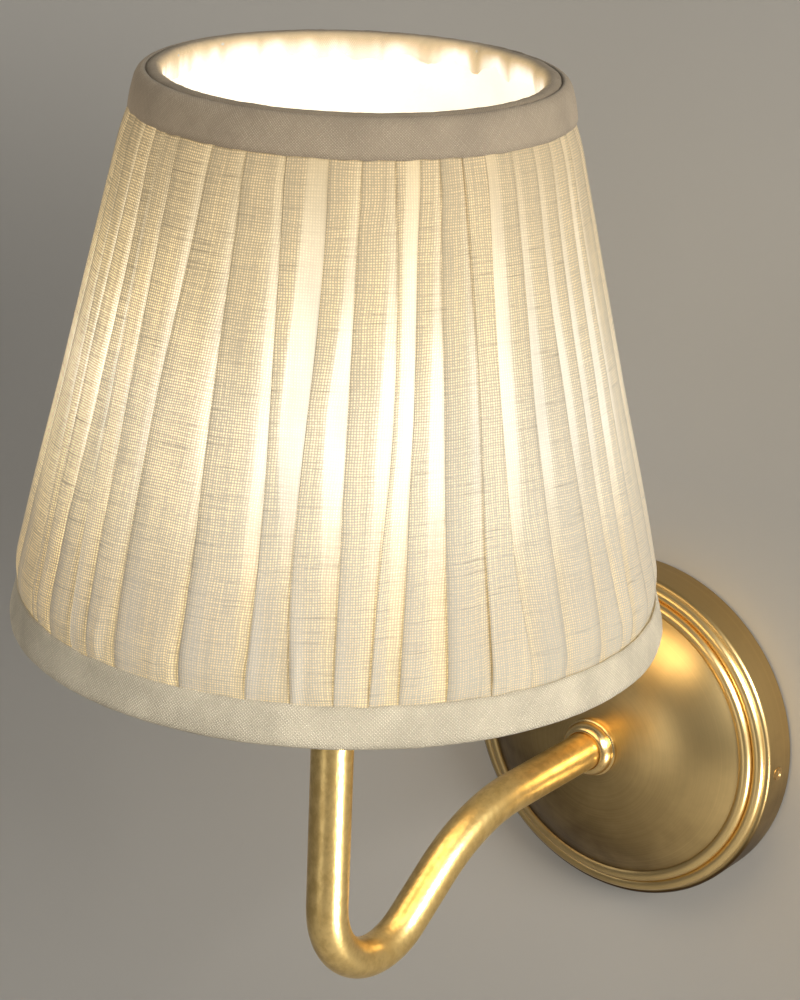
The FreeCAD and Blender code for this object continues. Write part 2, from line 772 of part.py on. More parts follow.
nose_height = widest_height + cell.glass_nose_height
glass_tip_height = nose_height + cell.glass_tip


def curve_through(run, rise):
    """Radius of an arc that starts upright and comes in by run over rise."""
    return (run * run + rise * rise) / (run * 2)


lower_run = cell.glass_radius - cell.glass_neck_radius
lower_curve = curve_through(lower_run, cell.glass_neck_height)
upper_run = cell.glass_radius - cell.glass_nose_radius
upper_curve = curve_through(upper_run, cell.glass_nose_height)
upper_centre = cell.glass_radius - upper_curve
tip_curve = curve_through(cell.glass_tip, cell.glass_nose_radius)
inner_radius = cell.glass_radius - cell.glass_wall
inner_nose_radius = cell.glass_nose_radius - cell.glass_wall / 2
inner_upper = upper_curve - cell.glass_wall
inner_nose_rise = root_of(inner_upper * inner_upper
                          - (inner_nose_radius - upper_centre) * (inner_nose_radius - upper_centre))
inner_nose_height = widest_height + inner_nose_rise
inner_neck_radius = cell.glass_neck_radius - cell.glass_wall
inner_lower = curve_through(inner_radius - inner_neck_radius, cell.glass_neck_height)
keep(turned("lamp_glass", LAMP_AXIS, [
    (inner_neck_radius, neck_height),
    (cell.glass_neck_radius, neck_height),
    (cell.glass_neck_radius, neck_top), Bend(lower_curve, False),
    (cell.glass_radius, widest_height), Bend(upper_curve, False),
    (cell.glass_nose_radius, nose_height), Bend(tip_curve, False),
    (0, glass_tip_height),
    (0, inner_nose_height),
    (inner_nose_radius, inner_nose_height), Bend(inner_upper),
    (inner_radius, widest_height), Bend(inner_lower),
    (inner_neck_radius, neck_top),
]))
flare_radius = inner_neck_radius - cell.seat_gap * 2
stem_top = neck_height + cell.stem_height
keep(turned("lamp_stem", LAMP_AXIS, [
    (0, neck_height),
    (flare_radius, neck_height),
    (flare_radius, neck_height + cell.glass_wall), Bend(cell.stem_flare_height * 2),
    (cell.stem_radius, neck_height + cell.stem_flare_height),
    (cell.stem_radius, stem_top),
    (0, stem_top),
]))
filament_bottom = stem_top + cell.spider_thickness
filament_top = filament_bottom + cell.filament_length
keep(joined("filament_frame",
            rod("lower_spider", cell.spider_radius, cell.spider_thickness,
                (0, -cell.projection, stem_top)),
            rod("spider_rod", cell.spider_rod_radius, cell.filament_length + cell.spider_thickness,
                (0, -cell.projection, stem_top)),
            rod("upper_spider", cell.spider_radius, cell.spider_thickness,
                (0, -cell.projection, filament_top))))
filaments = []
for number in range(SIZES["filament_count"]):
    angle = as_size(360 * (number + 0.5) / SIZES["filament_count"])
    place = (cell.filament_circle * cosine(angle),
             cell.filament_circle * sine(angle) - cell.projection, filament_bottom)
    filaments.append(rod(f"filament_{number + 1}", cell.filament_radius, cell.filament_length, place))
keep(grouped("filaments", *filaments))

# ---------------------------------------------------------------- clip on the lamp
axis = FreeCAD.Vector(0, -cell.projection.value, 0)
up = FreeCAD.Vector(0, 0, 1)
wire_curve = upper_curve.value + cell.clip_gap.value + cell.clip_wire_radius.value
loop_radius = upper_centre.value + wire_curve
crown_bottom = glass_tip_height + cell.crown_gap
crown_top = crown_bottom + cell.crown_thickness


def loop_leg(bearing):
    """One leg of a wire loop: up the lamp's shoulder, then straight into the crown."""
    outward = FreeCAD.Vector(math.cos(bearing), math.sin(bearing), 0)
    centre = axis + outward * upper_centre.value + up * widest_height.value
    foot = centre + outward * wire_curve
    climb = math.acos((cell.loop_top_radius.value - upper_centre.value) / wire_curve)
    top = centre + outward * wire_curve * math.cos(climb) + up * wire_curve * math.sin(climb)
    section = Part.Face(Part.Wire(Part.Circle(foot, up, cell.clip_wire_radius.value).toShape()))
    bow = section.revolve(centre, outward.cross(up), math.degrees(climb))
    riser = Part.makeCylinder(cell.clip_wire_radius.value, crown_bottom.value - top.z, top)
    return [bow, riser, Part.makeSphere(cell.clip_wire_radius.value, top),
            Part.makeSphere(cell.clip_wire_radius.value, foot)]


def wire_loop(bearing):
    """One spring wire loop: two legs joined by an arc round the lamp's widest line."""
    half = math.radians(cell.loop_spread.value) / 2
    pieces = loop_leg(bearing - half) + loop_leg(bearing + half)
    outward = FreeCAD.Vector(math.cos(bearing - half), math.sin(bearing - half), 0)
    start = axis + outward * loop_radius + up * widest_height.value
    section = Part.Face(Part.Wire(Part.Circle(start, outward.cross(up),
                                              cell.clip_wire_radius.value).toShape()))
    pieces.append(section.revolve(axis, up, cell.loop_spread.value))
    return pieces[0].multiFuse(pieces[1:]).removeSplitter()


keep(shaped("clip_loops", Part.makeCompound([wire_loop(math.radians(90)),
                                             wire_loop(math.radians(270))])))
keep(cut("clip_crown",
         rod("crown_disc", cell.crown_radius, cell.crown_thickness,
             (0, -cell.projection, crown_bottom)),
         rod("crown_hole", cell.crown_rivet_radius, cell.crown_thickness * 3,
             (0, -cell.projection, crown_bottom - cell.crown_thickness))))
yoke_outside = cell.yoke_half_span + cell.yoke_thickness
yoke_top = crown_top + cell.yoke_thickness
yoke_foot = cell.tilt_height - cell.yoke_below_pivot
inner_bend = cell.yoke_bend - cell.yoke_thickness
yoke_strip = padded_plate("yoke_strip", LAMP_AXIS, [
    (-yoke_outside, yoke_foot),
    (-yoke_outside, yoke_top - cell.yoke_bend), Bend(cell.yoke_bend),
    (cell.yoke_bend - yoke_outside, yoke_top),
    (yoke_outside - cell.yoke_bend, yoke_top), Bend(cell.yoke_bend),
    (yoke_outside, yoke_top - cell.yoke_bend),
    (yoke_outside, yoke_foot),
    (cell.yoke_half_span, yoke_foot),
    (cell.yoke_half_span, crown_top - inner_bend), Bend(inner_bend, False),
    (cell.yoke_half_span - inner_bend, crown_top),
    (inner_bend - cell.yoke_half_span, crown_top), Bend(inner_bend, False),
    (-cell.yoke_half_span, crown_top - inner_bend),
    (-cell.yoke_half_span, yoke_foot),
], cell.yoke_width, midplane=True)
move_to_lamp_axis(yoke_strip)
pivot_hole = rod("pivot_hole", cell.pivot_radius, yoke_outside * 2,
                 (-yoke_outside, -cell.projection, cell.tilt_height), ALONG_X)
crown_hole = rod("yoke_crown_hole", cell.crown_rivet_radius, cell.yoke_thickness * 3,
                 (0, -cell.projection, crown_top - cell.yoke_thickness))
keep(cut("clip_yoke", yoke_strip, pivot_hole, crown_hole))
keep(joined("crown_rivet",
            rod("crown_rivet_shank", cell.crown_rivet_radius, yoke_top - crown_bottom,
                (0, -cell.projection, crown_bottom)),
            rod("crown_rivet_head", cell.rivet_head_radius, cell.rivet_head_height,
                (0, -cell.projection, yoke_top))))
washer_inside = yoke_outside + cell.pivot_clearance
washer_outside = washer_inside + cell.friction_washer_thickness
tab_inside = washer_outside + cell.pivot_clearance
tab_outside = tab_inside + cell.carrier_tab_thickness
rivet_outside = tab_outside + cell.pivot_clearance


def across(label, sign, radius, low, high):
    """A round piece on the tilt axis, from low to high on one side of the lamp."""
    start = low if sign > 0 else -high
    return rod(f"{label}_{'left' if sign < 0 else 'right'}", radius, high - low,
               (start, -cell.projection, cell.tilt_height), ALONG_X)


rivets, washers = [], []
for sign in (-1, 1):
    side = "left" if sign < 0 else "right"
    rivets.append(joined(f"tilt_rivet_{side}",
                         across("rivet_shank", sign, cell.pivot_radius,
                                cell.yoke_half_span, rivet_outside),
                         across("rivet_inner_head", sign, cell.rivet_head_radius,
                                cell.yoke_half_span - cell.rivet_head_height, cell.yoke_half_span),
                         across("rivet_outer_head", sign, cell.rivet_head_radius,
                                rivet_outside, rivet_outside + cell.rivet_head_height)))
    washers.append(cut(f"friction_washer_{side}",
                       across("washer_disc", sign, cell.friction_washer_radius,
                              washer_inside, washer_outside),
                       across("washer_hole", sign, cell.pivot_radius + cell.pivot_clearance,
                              yoke_outside, tab_inside)))
keep(grouped("tilt_rivets", *rivets))
keep(grouped("friction_washers", *washers))

# ---------------------------------------------------------------- shade frame
shade_top = cell.shade_bottom + cell.shade_height
taper = (cell.shade_bottom_radius - cell.shade_top_radius) / cell.shade_height
cover_outside = cell.trim_wall + cell.cover_gap
cover_inside = cover_outside + cell.pleat_relief + cell.cover_wall
wire_inset = cover_inside + cell.strut_clearance + cell.strut_radius
lining_outside = wire_inset + cell.strut_radius + cell.strut_clearance
lining_inside = lining_outside + cell.lining_wall
hem_outside = lining_inside + cell.strut_clearance
hem_inside = hem_outside + cell.hem_wall


def at_height(height, inset):
    """Radius of the shade's cone at a height, inset from its outside."""
    return cell.shade_bottom_radius - (height - cell.shade_bottom) * taper - inset


bottom_ring_height = (cell.shade_bottom + cell.trim_wall + cell.seat_gap + cell.ring_wire_radius)
top_ring_height = shade_top - cell.trim_wall - cell.seat_gap - cell.ring_wire_radius
rings = {}
for name, height in (("bottom_ring", bottom_ring_height), ("top_ring", top_ring_height)):
    rings[name] = primitive("Torus", name, {"Radius1": at_height(height, wire_inset),
                                            "Radius2": cell.ring_wire_radius},
                            (0, -cell.projection, height))
    keep(rings[name])
strut_foot = FreeCAD.Vector(at_height(bottom_ring_height, wire_inset).value, 0,
                            bottom_ring_height.value)
strut_head = FreeCAD.Vector(at_height(top_ring_height, wire_inset).value, 0, top_ring_height.value)
doc.recompute()
ring_shapes = [ring.Shape for ring in rings.values()]


def strut(number):
    """One upright wire of the frame, coped against the two rings."""
    wire = Part.makeCylinder(cell.strut_radius.value, (strut_head - strut_foot).Length,
                             strut_foot, strut_head - strut_foot)
    wire.rotate(FreeCAD.Vector(), up, 360 * number / SIZES["strut_count"])
    wire.translate(axis)
    return wire.cut(ring_shapes)


strut_shapes = [strut(number) for number in range(SIZES["strut_count"])]
keep(shaped("frame_struts", Part.makeCompound(strut_shapes)))
carrier_height = cell.tilt_height + cell.carrier_rise


def carrier_arm(sign):
    """A flattened tab on the tilt rivet and a wire from it out to the upright strut."""
    side = "left" if sign < 0 else "right"
    low, high = (tab_inside, tab_outside) if sign > 0 else (-tab_outside, -tab_inside)
    tab = block(f"carrier_tab_{side}",
                (low, -(cell.projection + cell.carrier_tab_width / 2),
                 cell.tilt_height - cell.carrier_tab_below),
                (high, cell.carrier_tab_width / 2 - cell.projection,
                 cell.tilt_height + cell.carrier_tab_above))
    wire_end = at_height(carrier_height, wire_inset)
    start = tab_outside if sign > 0 else -wire_end
    wire = rod(f"carrier_wire_{side}", cell.carrier_wire_radius, wire_end - tab_outside,
               (start, -cell.projection, carrier_height), ALONG_X)
    hole = across("carrier_hole", sign, cell.pivot_radius + cell.pivot_clearance,
                  washer_outside, rivet_outside)
    return cut(f"carrier_arm_{side}", joined(f"carrier_blank_{side}", tab, wire), hole,
               doc.getObject("frame_struts"))


keep(grouped("carrier_arms", carrier_arm(-1), carrier_arm(1)))

# ---------------------------------------------------------------- shade cloth
cloth_bottom = bottom_ring_height + cell.ring_wire_radius + cell.seat_gap
cloth_top = top_ring_height - cell.ring_wire_radius - cell.seat_gap
lining_cone = turned("lining_cone", LAMP_AXIS, [
    (at_height(cloth_bottom, lining_inside), cloth_bottom),
    (at_height(cloth_bottom, lining_outside), cloth_bottom),
    (at_height(cloth_top, lining_outside), cloth_top),
    (at_height(cloth_top, lining_inside), cloth_top),
])
slit_radius = cell.carrier_wire_radius + cell.lining_slit_clearance
lining_slits = rod("lining_slits", slit_radius, cell.shade_bottom_radius * 2,
                   (-cell.shade_bottom_radius, -cell.projection, carrier_height), ALONG_X)
keep(cut("lining", lining_cone, lining_slits))


def pleat_bearings():
    """Bearings of the folds, uneven in width and closing on a full turn."""
    widths = []
    for number in range(SIZES["pleat_count"]):
        waves = math.sin(SIZES["slow_wave"] * number) + math.sin(SIZES["quick_wave"] * number)
        widths.append(1 + SIZES["pleat_unevenness"] * waves)
    bearings = [0.0]
    for width in widths:
        bearings.append(bearings[-1] + 2 * math.pi * width / sum(widths))
    return bearings


def pleat_ring(height):
    """One ring of corners: each knife pleat runs from its proud fold in under the next one."""
    crest = at_height(height, cover_outside).value
    relief = SIZES["pleat_relief"] * crest / at_height(cloth_bottom, cover_outside).value
    bearings = pleat_bearings()
    corners = []
    for begin, end in zip(bearings, bearings[1:]):
        lap = (end - begin) * SIZES["pleat_lap"]
        for bearing, radius in ((begin + lap, crest), (end, crest - relief)):
            corners.append(axis + FreeCAD.Vector(radius * math.cos(bearing),
                                                 radius * math.sin(bearing), height.value))
    return corners


def pleated_cone():
    """The knife-pleated cover: flat pleat faces outside and a smooth cone inside."""
    low, high = pleat_ring(cloth_bottom), pleat_ring(cloth_top)
    faces = [Part.Face(Part.makePolygon([*reversed(low), low[-1]])),
             Part.Face(Part.makePolygon([*high, high[0]]))]
    for index in range(len(low)):
        corners = [low[index - 1], low[index], high[index], high[index - 1]]
        faces.append(Part.Face(Part.makePolygon([*corners, corners[0]])))
    pleats = Part.Solid(Part.Shell(faces))
    inside = Part.makeCone(at_height(cloth_bottom, cover_inside).value,
                           at_height(cloth_top, cover_inside).value,
                           (cloth_top - cloth_bottom).value, axis + up * cloth_bottom.value)
    return pleats.cut(inside)


keep(shaped("pleated_cover", pleated_cone()))


def trim(label, edge, inwards, width, hem_turn):
    """A bias-tape trim: an outer leg, a rounded fold over the ring and a turned-in hem."""
    def inward(step):
        return edge + step if inwards else edge - step

    outer_fold = Bend(cell.trim_round * cell.trim_fullness, left=inwards)
    inner_fold = Bend(cell.hem_round * cell.trim_fullness, left=inwards)
    keep(turned(label, LAMP_AXIS, [
        (at_height(inward(width), 0), inward(width)),
        (at_height(inward(cell.trim_round), 0), inward(cell.trim_round)), outer_fold,
        (at_height(edge, cell.trim_round), edge),
        (at_height(edge, hem_inside - cell.hem_round), edge), inner_fold,
        (at_height(inward(cell.hem_round), hem_inside), inward(cell.hem_round)),
        (at_height(inward(hem_turn), hem_inside), inward(hem_turn)),
        (at_height(inward(hem_turn), hem_outside), inward(hem_turn)),
        (at_height(inward(cell.trim_wall), hem_outside), inward(cell.trim_wall)),
        (at_height(inward(cell.trim_wall), cell.trim_wall), inward(cell.trim_wall)),
        (at_height(inward(width), cell.trim_wall), inward(width)),
    ]))


trim("bottom_trim", cell.shade_bottom, True, cell.bottom_trim_width, cell.bottom_hem_turn)
trim("top_trim", shade_top, False, cell.top_trim_width, cell.top_hem_turn)

# ---------------------------------------------------------------- terminal block and wires
block_front = cell.bracket_thickness + cell.block_depth
block_middle = cell.block_top + cell.block_height / 2
half_block = cell.block_pitch * 3 / 2
block_blank = block("block_blank", (-half_block, -block_front, -(cell.block_top + cell.block_height)),
                    (half_block, -cell.bracket_thickness, -cell.block_top))
pole_depth = cell.bracket_thickness + cell.block_depth / 2
pole_holes, clamp_holes, clamp_screws = [], [], []
screw_bottom = cell.bracket_thickness + cell.block_depth / 2
for number, pole in enumerate((-cell.block_pitch, as_size(0), cell.block_pitch), start=1):
    pole_holes.append(rod(f"pole_hole_{number}", cell.block_hole_radius, cell.block_height * 3,
                          (pole, -pole_depth, -(cell.block_top + cell.block_height * 2))))
    clamp_place = (pole, -(screw_bottom + cell.block_hole_radius), -block_middle)
    clamp_length = block_front - screw_bottom - cell.block_hole_radius
    clamp_holes.append(rod(f"clamp_hole_{number}", cell.clamp_screw_radius, clamp_length * 2,
                           clamp_place, ALONG_MINUS_Y))
    clamp_screws.append(rod(f"clamp_screw_{number}", cell.clamp_screw_radius,
                            clamp_length - cell.clamp_screw_sink, clamp_place, ALONG_MINUS_Y))
keep(cut("terminal_block", block_blank, *pole_holes, *clamp_holes))
keep(grouped("clamp_screws", *clamp_screws))
earth_head_back = cell.bracket_thickness + cell.tag_thickness
keep(joined("earth_screw",
            rod("earth_shank", cell.earth_screw_radius, earth_head_back,
                (cell.earth_screw_offset, 0, 0), ALONG_MINUS_Y),
            rod("earth_head", cell.earth_head_radius, cell.earth_head_height,
                (cell.earth_screw_offset, -earth_head_back, 0), ALONG_MINUS_Y)))
barrel_depth = cell.bracket_thickness + cell.tag_barrel_radius
barrel_bottom = cell.earth_head_radius + cell.tag_barrel_length
keep(cut("earth_tag",
         joined("tag_blank",
                rod("tag_ring", cell.earth_head_radius, cell.tag_thickness,
                    (cell.earth_screw_offset, -cell.bracket_thickness, 0), ALONG_MINUS_Y),
                rod("tag_barrel", cell.tag_barrel_radius, cell.tag_barrel_length,
                    (cell.earth_screw_offset, -barrel_depth, -barrel_bottom)),
                block("tag_neck",
                      (cell.earth_screw_offset - cell.tag_barrel_radius,
                       -earth_head_back, -cell.earth_head_radius),
                      (cell.earth_screw_offset + cell.tag_barrel_radius,
                       -cell.bracket_thickness, -cell.earth_screw_radius))),
         rod("tag_hole", cell.earth_screw_radius, through,
             (cell.earth_screw_offset, cell.bracket_thickness, 0), ALONG_MINUS_Y)))

in_pole = -(cell.block_top + cell.wire_insert).value
at_pole_depth = -pole_depth.value


def conductor(label, pole, side):
    """A wire from its pole, in through the arm and up to one hole of the lampholder."""
    inside = side * cell.wire_offset.value
    terminal = side * cell.terminal_hole_offset.value
    lamp = -cell.projection.value
    points = [
        (pole, at_pole_depth, in_pole),
        (pole, at_pole_depth, -cell.wire_lead.value),
        (inside, at_pole_depth, 0),
        (inside, -cell.first_bend_reach.value, 0),
        (inside, lamp, -drop.value),
        (inside, lamp, (thread_end - cell.seat_gap).value),
        (terminal, lamp, (cell.holder_bottom - cell.wire_radius).value),
        (terminal, lamp, (cell.holder_bottom + cell.wire_insert).value),
    ]
    radii = [cell.wire_bend, cell.wire_bend, cell.upper_bend_radius, cell.lower_bend_radius,
             cell.wire_bend, cell.wire_bend]
    keep(shaped(label, wire_along([FreeCAD.Vector(*point) for point in points],
                                  [radius.value for radius in radii], cell.wire_radius.value)))


conductor("live_wire", -cell.block_pitch.value, -1)
conductor("neutral_wire", 0, 1)
earth_points = [
    (cell.block_pitch.value, at_pole_depth, in_pole),
    (cell.block_pitch.value, at_pole_depth, -(cell.block_top - cell.wire_radius * 2).value),
    (cell.earth_screw_offset.value, -barrel_depth.value,
     -(barrel_bottom + cell.tag_lead).value),
    (cell.earth_screw_offset.value, -barrel_depth.value, -barrel_bottom.value),
]
keep(shaped("earth_wire", wire_along([FreeCAD.Vector(*point) for point in earth_points],
                                     [cell.earth_bend.value] * 2, cell.wire_radius.value)))

doc.recompute()
broken = [item.Name for item in doc.Objects if {"Invalid", "Error"} & set(item.State)]
if broken:
    raise RuntimeError(f"objects that failed: {broken}")
for node in nodes:
    if node.Shape.isNull() or not node.Shape.isValid():
        raise RuntimeError(f"shape of {node.Label} is not valid")
os.makedirs("parts", exist_ok=True)
for node in nodes:
    node.Shape.exportStep(f"parts/{node.Label}.step")
    print(node.Label, len(node.Shape.Solids), round(node.Shape.Volume, 1))
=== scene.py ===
"""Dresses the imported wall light: pleated linen shade, brass wall plate and arm, lamp, wiring and stage."""

import logging
import math
import random
from dataclasses import dataclass, field
from enum import Enum
from typing import Any, Callable, Sequence

import bmesh
import bpy
from mathutils import Matrix, Vector, noise


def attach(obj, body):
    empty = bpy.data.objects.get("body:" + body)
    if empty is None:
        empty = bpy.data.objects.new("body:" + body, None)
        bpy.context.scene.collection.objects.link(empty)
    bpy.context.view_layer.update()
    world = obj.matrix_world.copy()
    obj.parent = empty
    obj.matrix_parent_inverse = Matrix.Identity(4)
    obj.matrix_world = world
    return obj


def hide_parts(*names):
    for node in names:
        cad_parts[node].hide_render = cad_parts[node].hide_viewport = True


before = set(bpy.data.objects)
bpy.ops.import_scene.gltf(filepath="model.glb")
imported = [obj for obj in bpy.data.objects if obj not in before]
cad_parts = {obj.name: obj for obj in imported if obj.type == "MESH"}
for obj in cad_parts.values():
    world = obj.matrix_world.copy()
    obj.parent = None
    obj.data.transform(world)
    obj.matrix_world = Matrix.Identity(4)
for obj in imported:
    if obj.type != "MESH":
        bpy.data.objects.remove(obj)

LOG = logging.getLogger("wall_light")
MM = 0.001
TURN = 2 * math.pi
SEAM = 0.00002
LAMP_DEPTH = -150.0
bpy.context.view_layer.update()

Point = tuple[float, float]
Colour = tuple[float, float, float]
Stops = tuple[tuple[float, Colour], ...]
Station = tuple[float, float, float, float]
Value = Any


class Axis(Enum):
    """The two axes that round pieces are turned about."""

    WALL = "out of the wall, through the wall plate"
    LAMP = "upright, through the lamp and the shade"


class Side(Enum):
    """Which way a pleat's fold faces."""

    LEFT = "the fold is the pleat's left edge"
    RIGHT = "the fold is the pleat's right edge"


# ------------------------------------------------------------------ shapes shared by the pieces
def on_lamp_axis(radius: float, bearing: float, height: float) -> Vector:
    """Places a point round the lamp's axis.

    Args:
        radius: distance from the axis, in millimetres.
        bearing: angle from the right-hand side, in radians, anticlockwise from above.
        height: height over the wall plate's centre, in millimetres.

    Returns:
        The point in metres.
    """
    return Vector((radius * math.cos(bearing), LAMP_DEPTH + radius * math.sin(bearing), height)) * MM


def arc(start: Point, end: Point, radius: float, left: bool = True, steps: int = 10) -> list[Point]:
    """Samples an arc between two points of an outline.

    Args:
        start: where the arc starts; it is left out of the result.
        end: where the arc ends; it is in the result.
        radius: the arc's radius, in millimetres.
        left: True when the arc bulges to the left of the way from start to end.
        steps: how many runs the arc is divided into.

    Returns:
        The points after the start.
    """
    a, b = Vector(start), Vector(end)
    chord = b - a
    half = chord.length / 2
    side = 1.0 if left else -1.0
    across = Vector((-chord.y, chord.x)).normalized() * side
    centre = (a + b) / 2 - across * math.sqrt(max(radius * radius - half * half, 0.0))
    first = math.atan2(a.y - centre.y, a.x - centre.x)
    sweep = -side * 2 * math.asin(min(1.0, half / radius))
    return [(centre.x + radius * math.cos(first + sweep * n / steps),
             centre.y + radius * math.sin(first + sweep * n / steps)) for n in range(1, steps + 1)]


def finished(name: str, bm: bmesh.types.BMesh, sharp: float = 40.0,
             recalculate: bool = True) -> bpy.types.Object:
    """Turns a bmesh into an object at the origin.

    Args:
        name: the piece's name.
        bm: its shape in metres; it is freed.
        sharp: the angle in degrees past which an edge stays sharp.
        recalculate: True when the faces are to be turned outwards.

    Returns:
        The new object, linked to the scene.
    """
    if recalculate:
        bmesh.ops.recalc_face_normals(bm, faces=bm.faces)
    for face in bm.faces:
        face.smooth = True
    mesh = bpy.data.meshes.new(name)
    bm.to_mesh(mesh)
    bm.free()
    mesh.set_sharp_from_angle(angle=math.radians(sharp))
    made = bpy.data.objects.new(name, mesh)
    bpy.context.scene.collection.objects.link(made)
    return made


def turned(outline: Sequence[Point], axis: Axis, steps: int = 128, closed: bool = True) -> bmesh.types.BMesh:
    """Spins an outline once round an axis.

    Args:
        outline: (radius, place along the axis) in millimetres.
        axis: the axis it turns about.
        steps: how many runs the turn has.
        closed: True when the outline's last point joins its first.

    Returns:
        The turned shape in metres.
    """
    bm = bmesh.new()
    corners = [bm.verts.new((r, h, 0.0) if axis is Axis.WALL else (r, LAMP_DEPTH, h)) for r, h in outline]
    runs = list(zip(corners, corners[1:] + corners[:1])) if closed else list(zip(corners, corners[1:]))
    edges = [bm.edges.new(run) for run in runs]
    centre = (0.0, 0.0, 0.0) if axis is Axis.WALL else (0.0, LAMP_DEPTH, 0.0)
    about = (0.0, 1.0, 0.0) if axis is Axis.WALL else (0.0, 0.0, 1.0)
    bmesh.ops.spin(bm, geom=corners + edges, cent=centre, axis=about, dvec=(0, 0, 0), angle=TURN,
                   steps=steps, use_merge=True, use_normal_flip=False, use_duplicate=False)
    bmesh.ops.remove_doubles(bm, verts=bm.verts, dist=0.0005)
    bmesh.ops.scale(bm, vec=(MM, MM, MM), verts=bm.verts)
    return bm


def thickened(obj: bpy.types.Object, wall: float) -> None:
    """Gives a sheet its thickness in millimetres, half to each side."""
    solid = obj.modifiers.new("Thickness", "SOLIDIFY")
    solid.thickness = wall * MM
    solid.offset = 0.0


def eased(levels: Sequence[float], values: Sequence[float], at: float) -> float:
    """Reads a value between levels along a smooth curve.

    Args:
        levels: the levels, falling.
        values: the value at each level.
        at: the level to read.

    Returns:
        The value there.
    """
    if at >= levels[0]:
        return values[0]
    if at <= levels[-1]:
        return values[-1]
    n = next(n for n in range(len(levels) - 1) if at >= levels[n + 1])
    share = (levels[n] - at) / (levels[n] - levels[n + 1])
    before = values[max(n - 1, 0)]
    after = values[min(n + 2, len(values) - 1)]
    a, b = values[n], values[n + 1]
    return 0.5 * (2 * a + (b - before) * share + (2 * before - 5 * a + 4 * b - after) * share ** 2
                  + (3 * a - before - 3 * b + after) * share ** 3)


def draped_uv(bm: bmesh.types.BMesh, place: Callable[[Vector], Point], wrap: float) -> None:
    """Lays a cloth map in metres on every face.

    Args:
        bm: the mesh.
        place: gives a vertex's place on the flat cloth.
        wrap: the cloth's length round, so that the face at the seam isn't stretched.
    """
    layer = bm.loops.layers.uv.new("cloth")
    for face in bm.faces:
        places = [place(loop.vert.co) for loop in face.loops]
        most = max(u for u, _ in places)
        for loop, (u, v) in zip(face.loops, places):
            loop[layer].uv = (u + wrap if most - u > wrap / 2 else u, v)


# ------------------------------------------------------------------ finishes
class Graph:
    """Adds and joins the nodes of one material or node group."""

    def __init__(self, tree: bpy.types.NodeTree) -> None:
        """Keeps the tree that the nodes go into."""
        self.tree = tree

    def node(self, kind: str, feeds: dict[Any, Value] | None = None, **settings: Any) -> bpy.types.Node:
        """Adds a node.

        Args:
            kind: the node's type.
            feeds: a value or an output socket for each input, by its name or number.
            settings: the node's own settings.

        Returns:
            The node.
        """
        made = self.tree.nodes.new(kind)
        for name, value in settings.items():
            setattr(made, name, value)
        for name, value in (feeds or {}).items():
            if isinstance(value, bpy.types.NodeSocket):
                self.tree.links.new(value, made.inputs[name])
            else:
                made.inputs[name].default_value = value
        return made

    def join(self, value: bpy.types.NodeSocket, to: bpy.types.NodeSocket) -> None:
        """Joins an output to an input."""
        self.tree.links.new(value, to)

    def math(self, operation: str, *values: Value, clamp: bool = False) -> bpy.types.NodeSocket:
        """Adds a sum of one to three values."""
        made = self.node("ShaderNodeMath", dict(enumerate(values)), operation=operation, use_clamp=clamp)
        return made.outputs[0]

    def vector(self, operation: str, *values: Value) -> bpy.types.NodeSocket:
        """Adds a vector sum and gives the output that it fills."""
        made = self.node("ShaderNodeVectorMath", dict(enumerate(values)), operation=operation)
        return made.outputs[1 if operation in ("LENGTH", "DISTANCE", "DOT_PRODUCT") else 0]

    def mix(self, share: Value, first: Value, second: Value, blend: str = "MIX") -> bpy.types.NodeSocket:
        """Mixes two colours."""
        colours = [value if isinstance(value, bpy.types.NodeSocket) else (*value, 1.0)
                   for value in (first, second)]
        return self.node("ShaderNodeMix", {0: share, 6: colours[0], 7: colours[1]},
                         data_type="RGBA", blend_type=blend).outputs[2]

    def dimmed(self, colour: Value, by: Value) -> bpy.types.NodeSocket:
        """Multiplies a colour by a value."""
        grey = self.node("ShaderNodeCombineColor", {0: by, 1: by, 2: by}).outputs[0]
        return self.mix(1.0, colour, grey, "MULTIPLY")

    def noise(self, place: Value, scale: float, detail: float = 2.0,
              roughness: float = 0.5) -> bpy.types.NodeSocket:
        """Adds soft random variation from 0 to 1."""
        made = self.node("ShaderNodeTexNoise", {"Vector": place, "Scale": scale, "Detail": detail,
                                                "Roughness": roughness})
        return made.outputs["Fac"]

    def between(self, value: Value, low: float, high: float, start: Value = 0.0, end: Value = 1.0,
                soft: bool = True) -> bpy.types.NodeSocket:
        """Maps a value from one range to another, held inside it."""
        made = self.node("ShaderNodeMapRange", {"Value": value, "From Min": low, "From Max": high,
                                                "To Min": start, "To Max": end})
        made.interpolation_type = "SMOOTHSTEP" if soft else "LINEAR"
        return made.outputs[0]

    def ramp(self, value: Value, stops: Sequence[tuple[float, Colour]]) -> bpy.types.NodeSocket:
        """Reads a colour from stops along a value from 0 to 1."""
        made = self.node("ShaderNodeValToRGB", {"Fac": value})
        band = made.color_ramp
        for place, colour in stops[1:-1]:
            band.elements.new(place).color = (*colour, 1.0)
        band.elements[0].position, band.elements[0].color = stops[0][0], (*stops[0][1], 1.0)
        band.elements[-1].position, band.elements[-1].color = stops[-1][0], (*stops[-1][1], 1.0)
        return made.outputs["Color"]

    def stretched(self, place: Value, scale: tuple[float, float, float]) -> bpy.types.NodeSocket:
        """Scales a place along each axis."""
        return self.node("ShaderNodeMapping", {"Vector": place, "Scale": scale}).outputs[0]


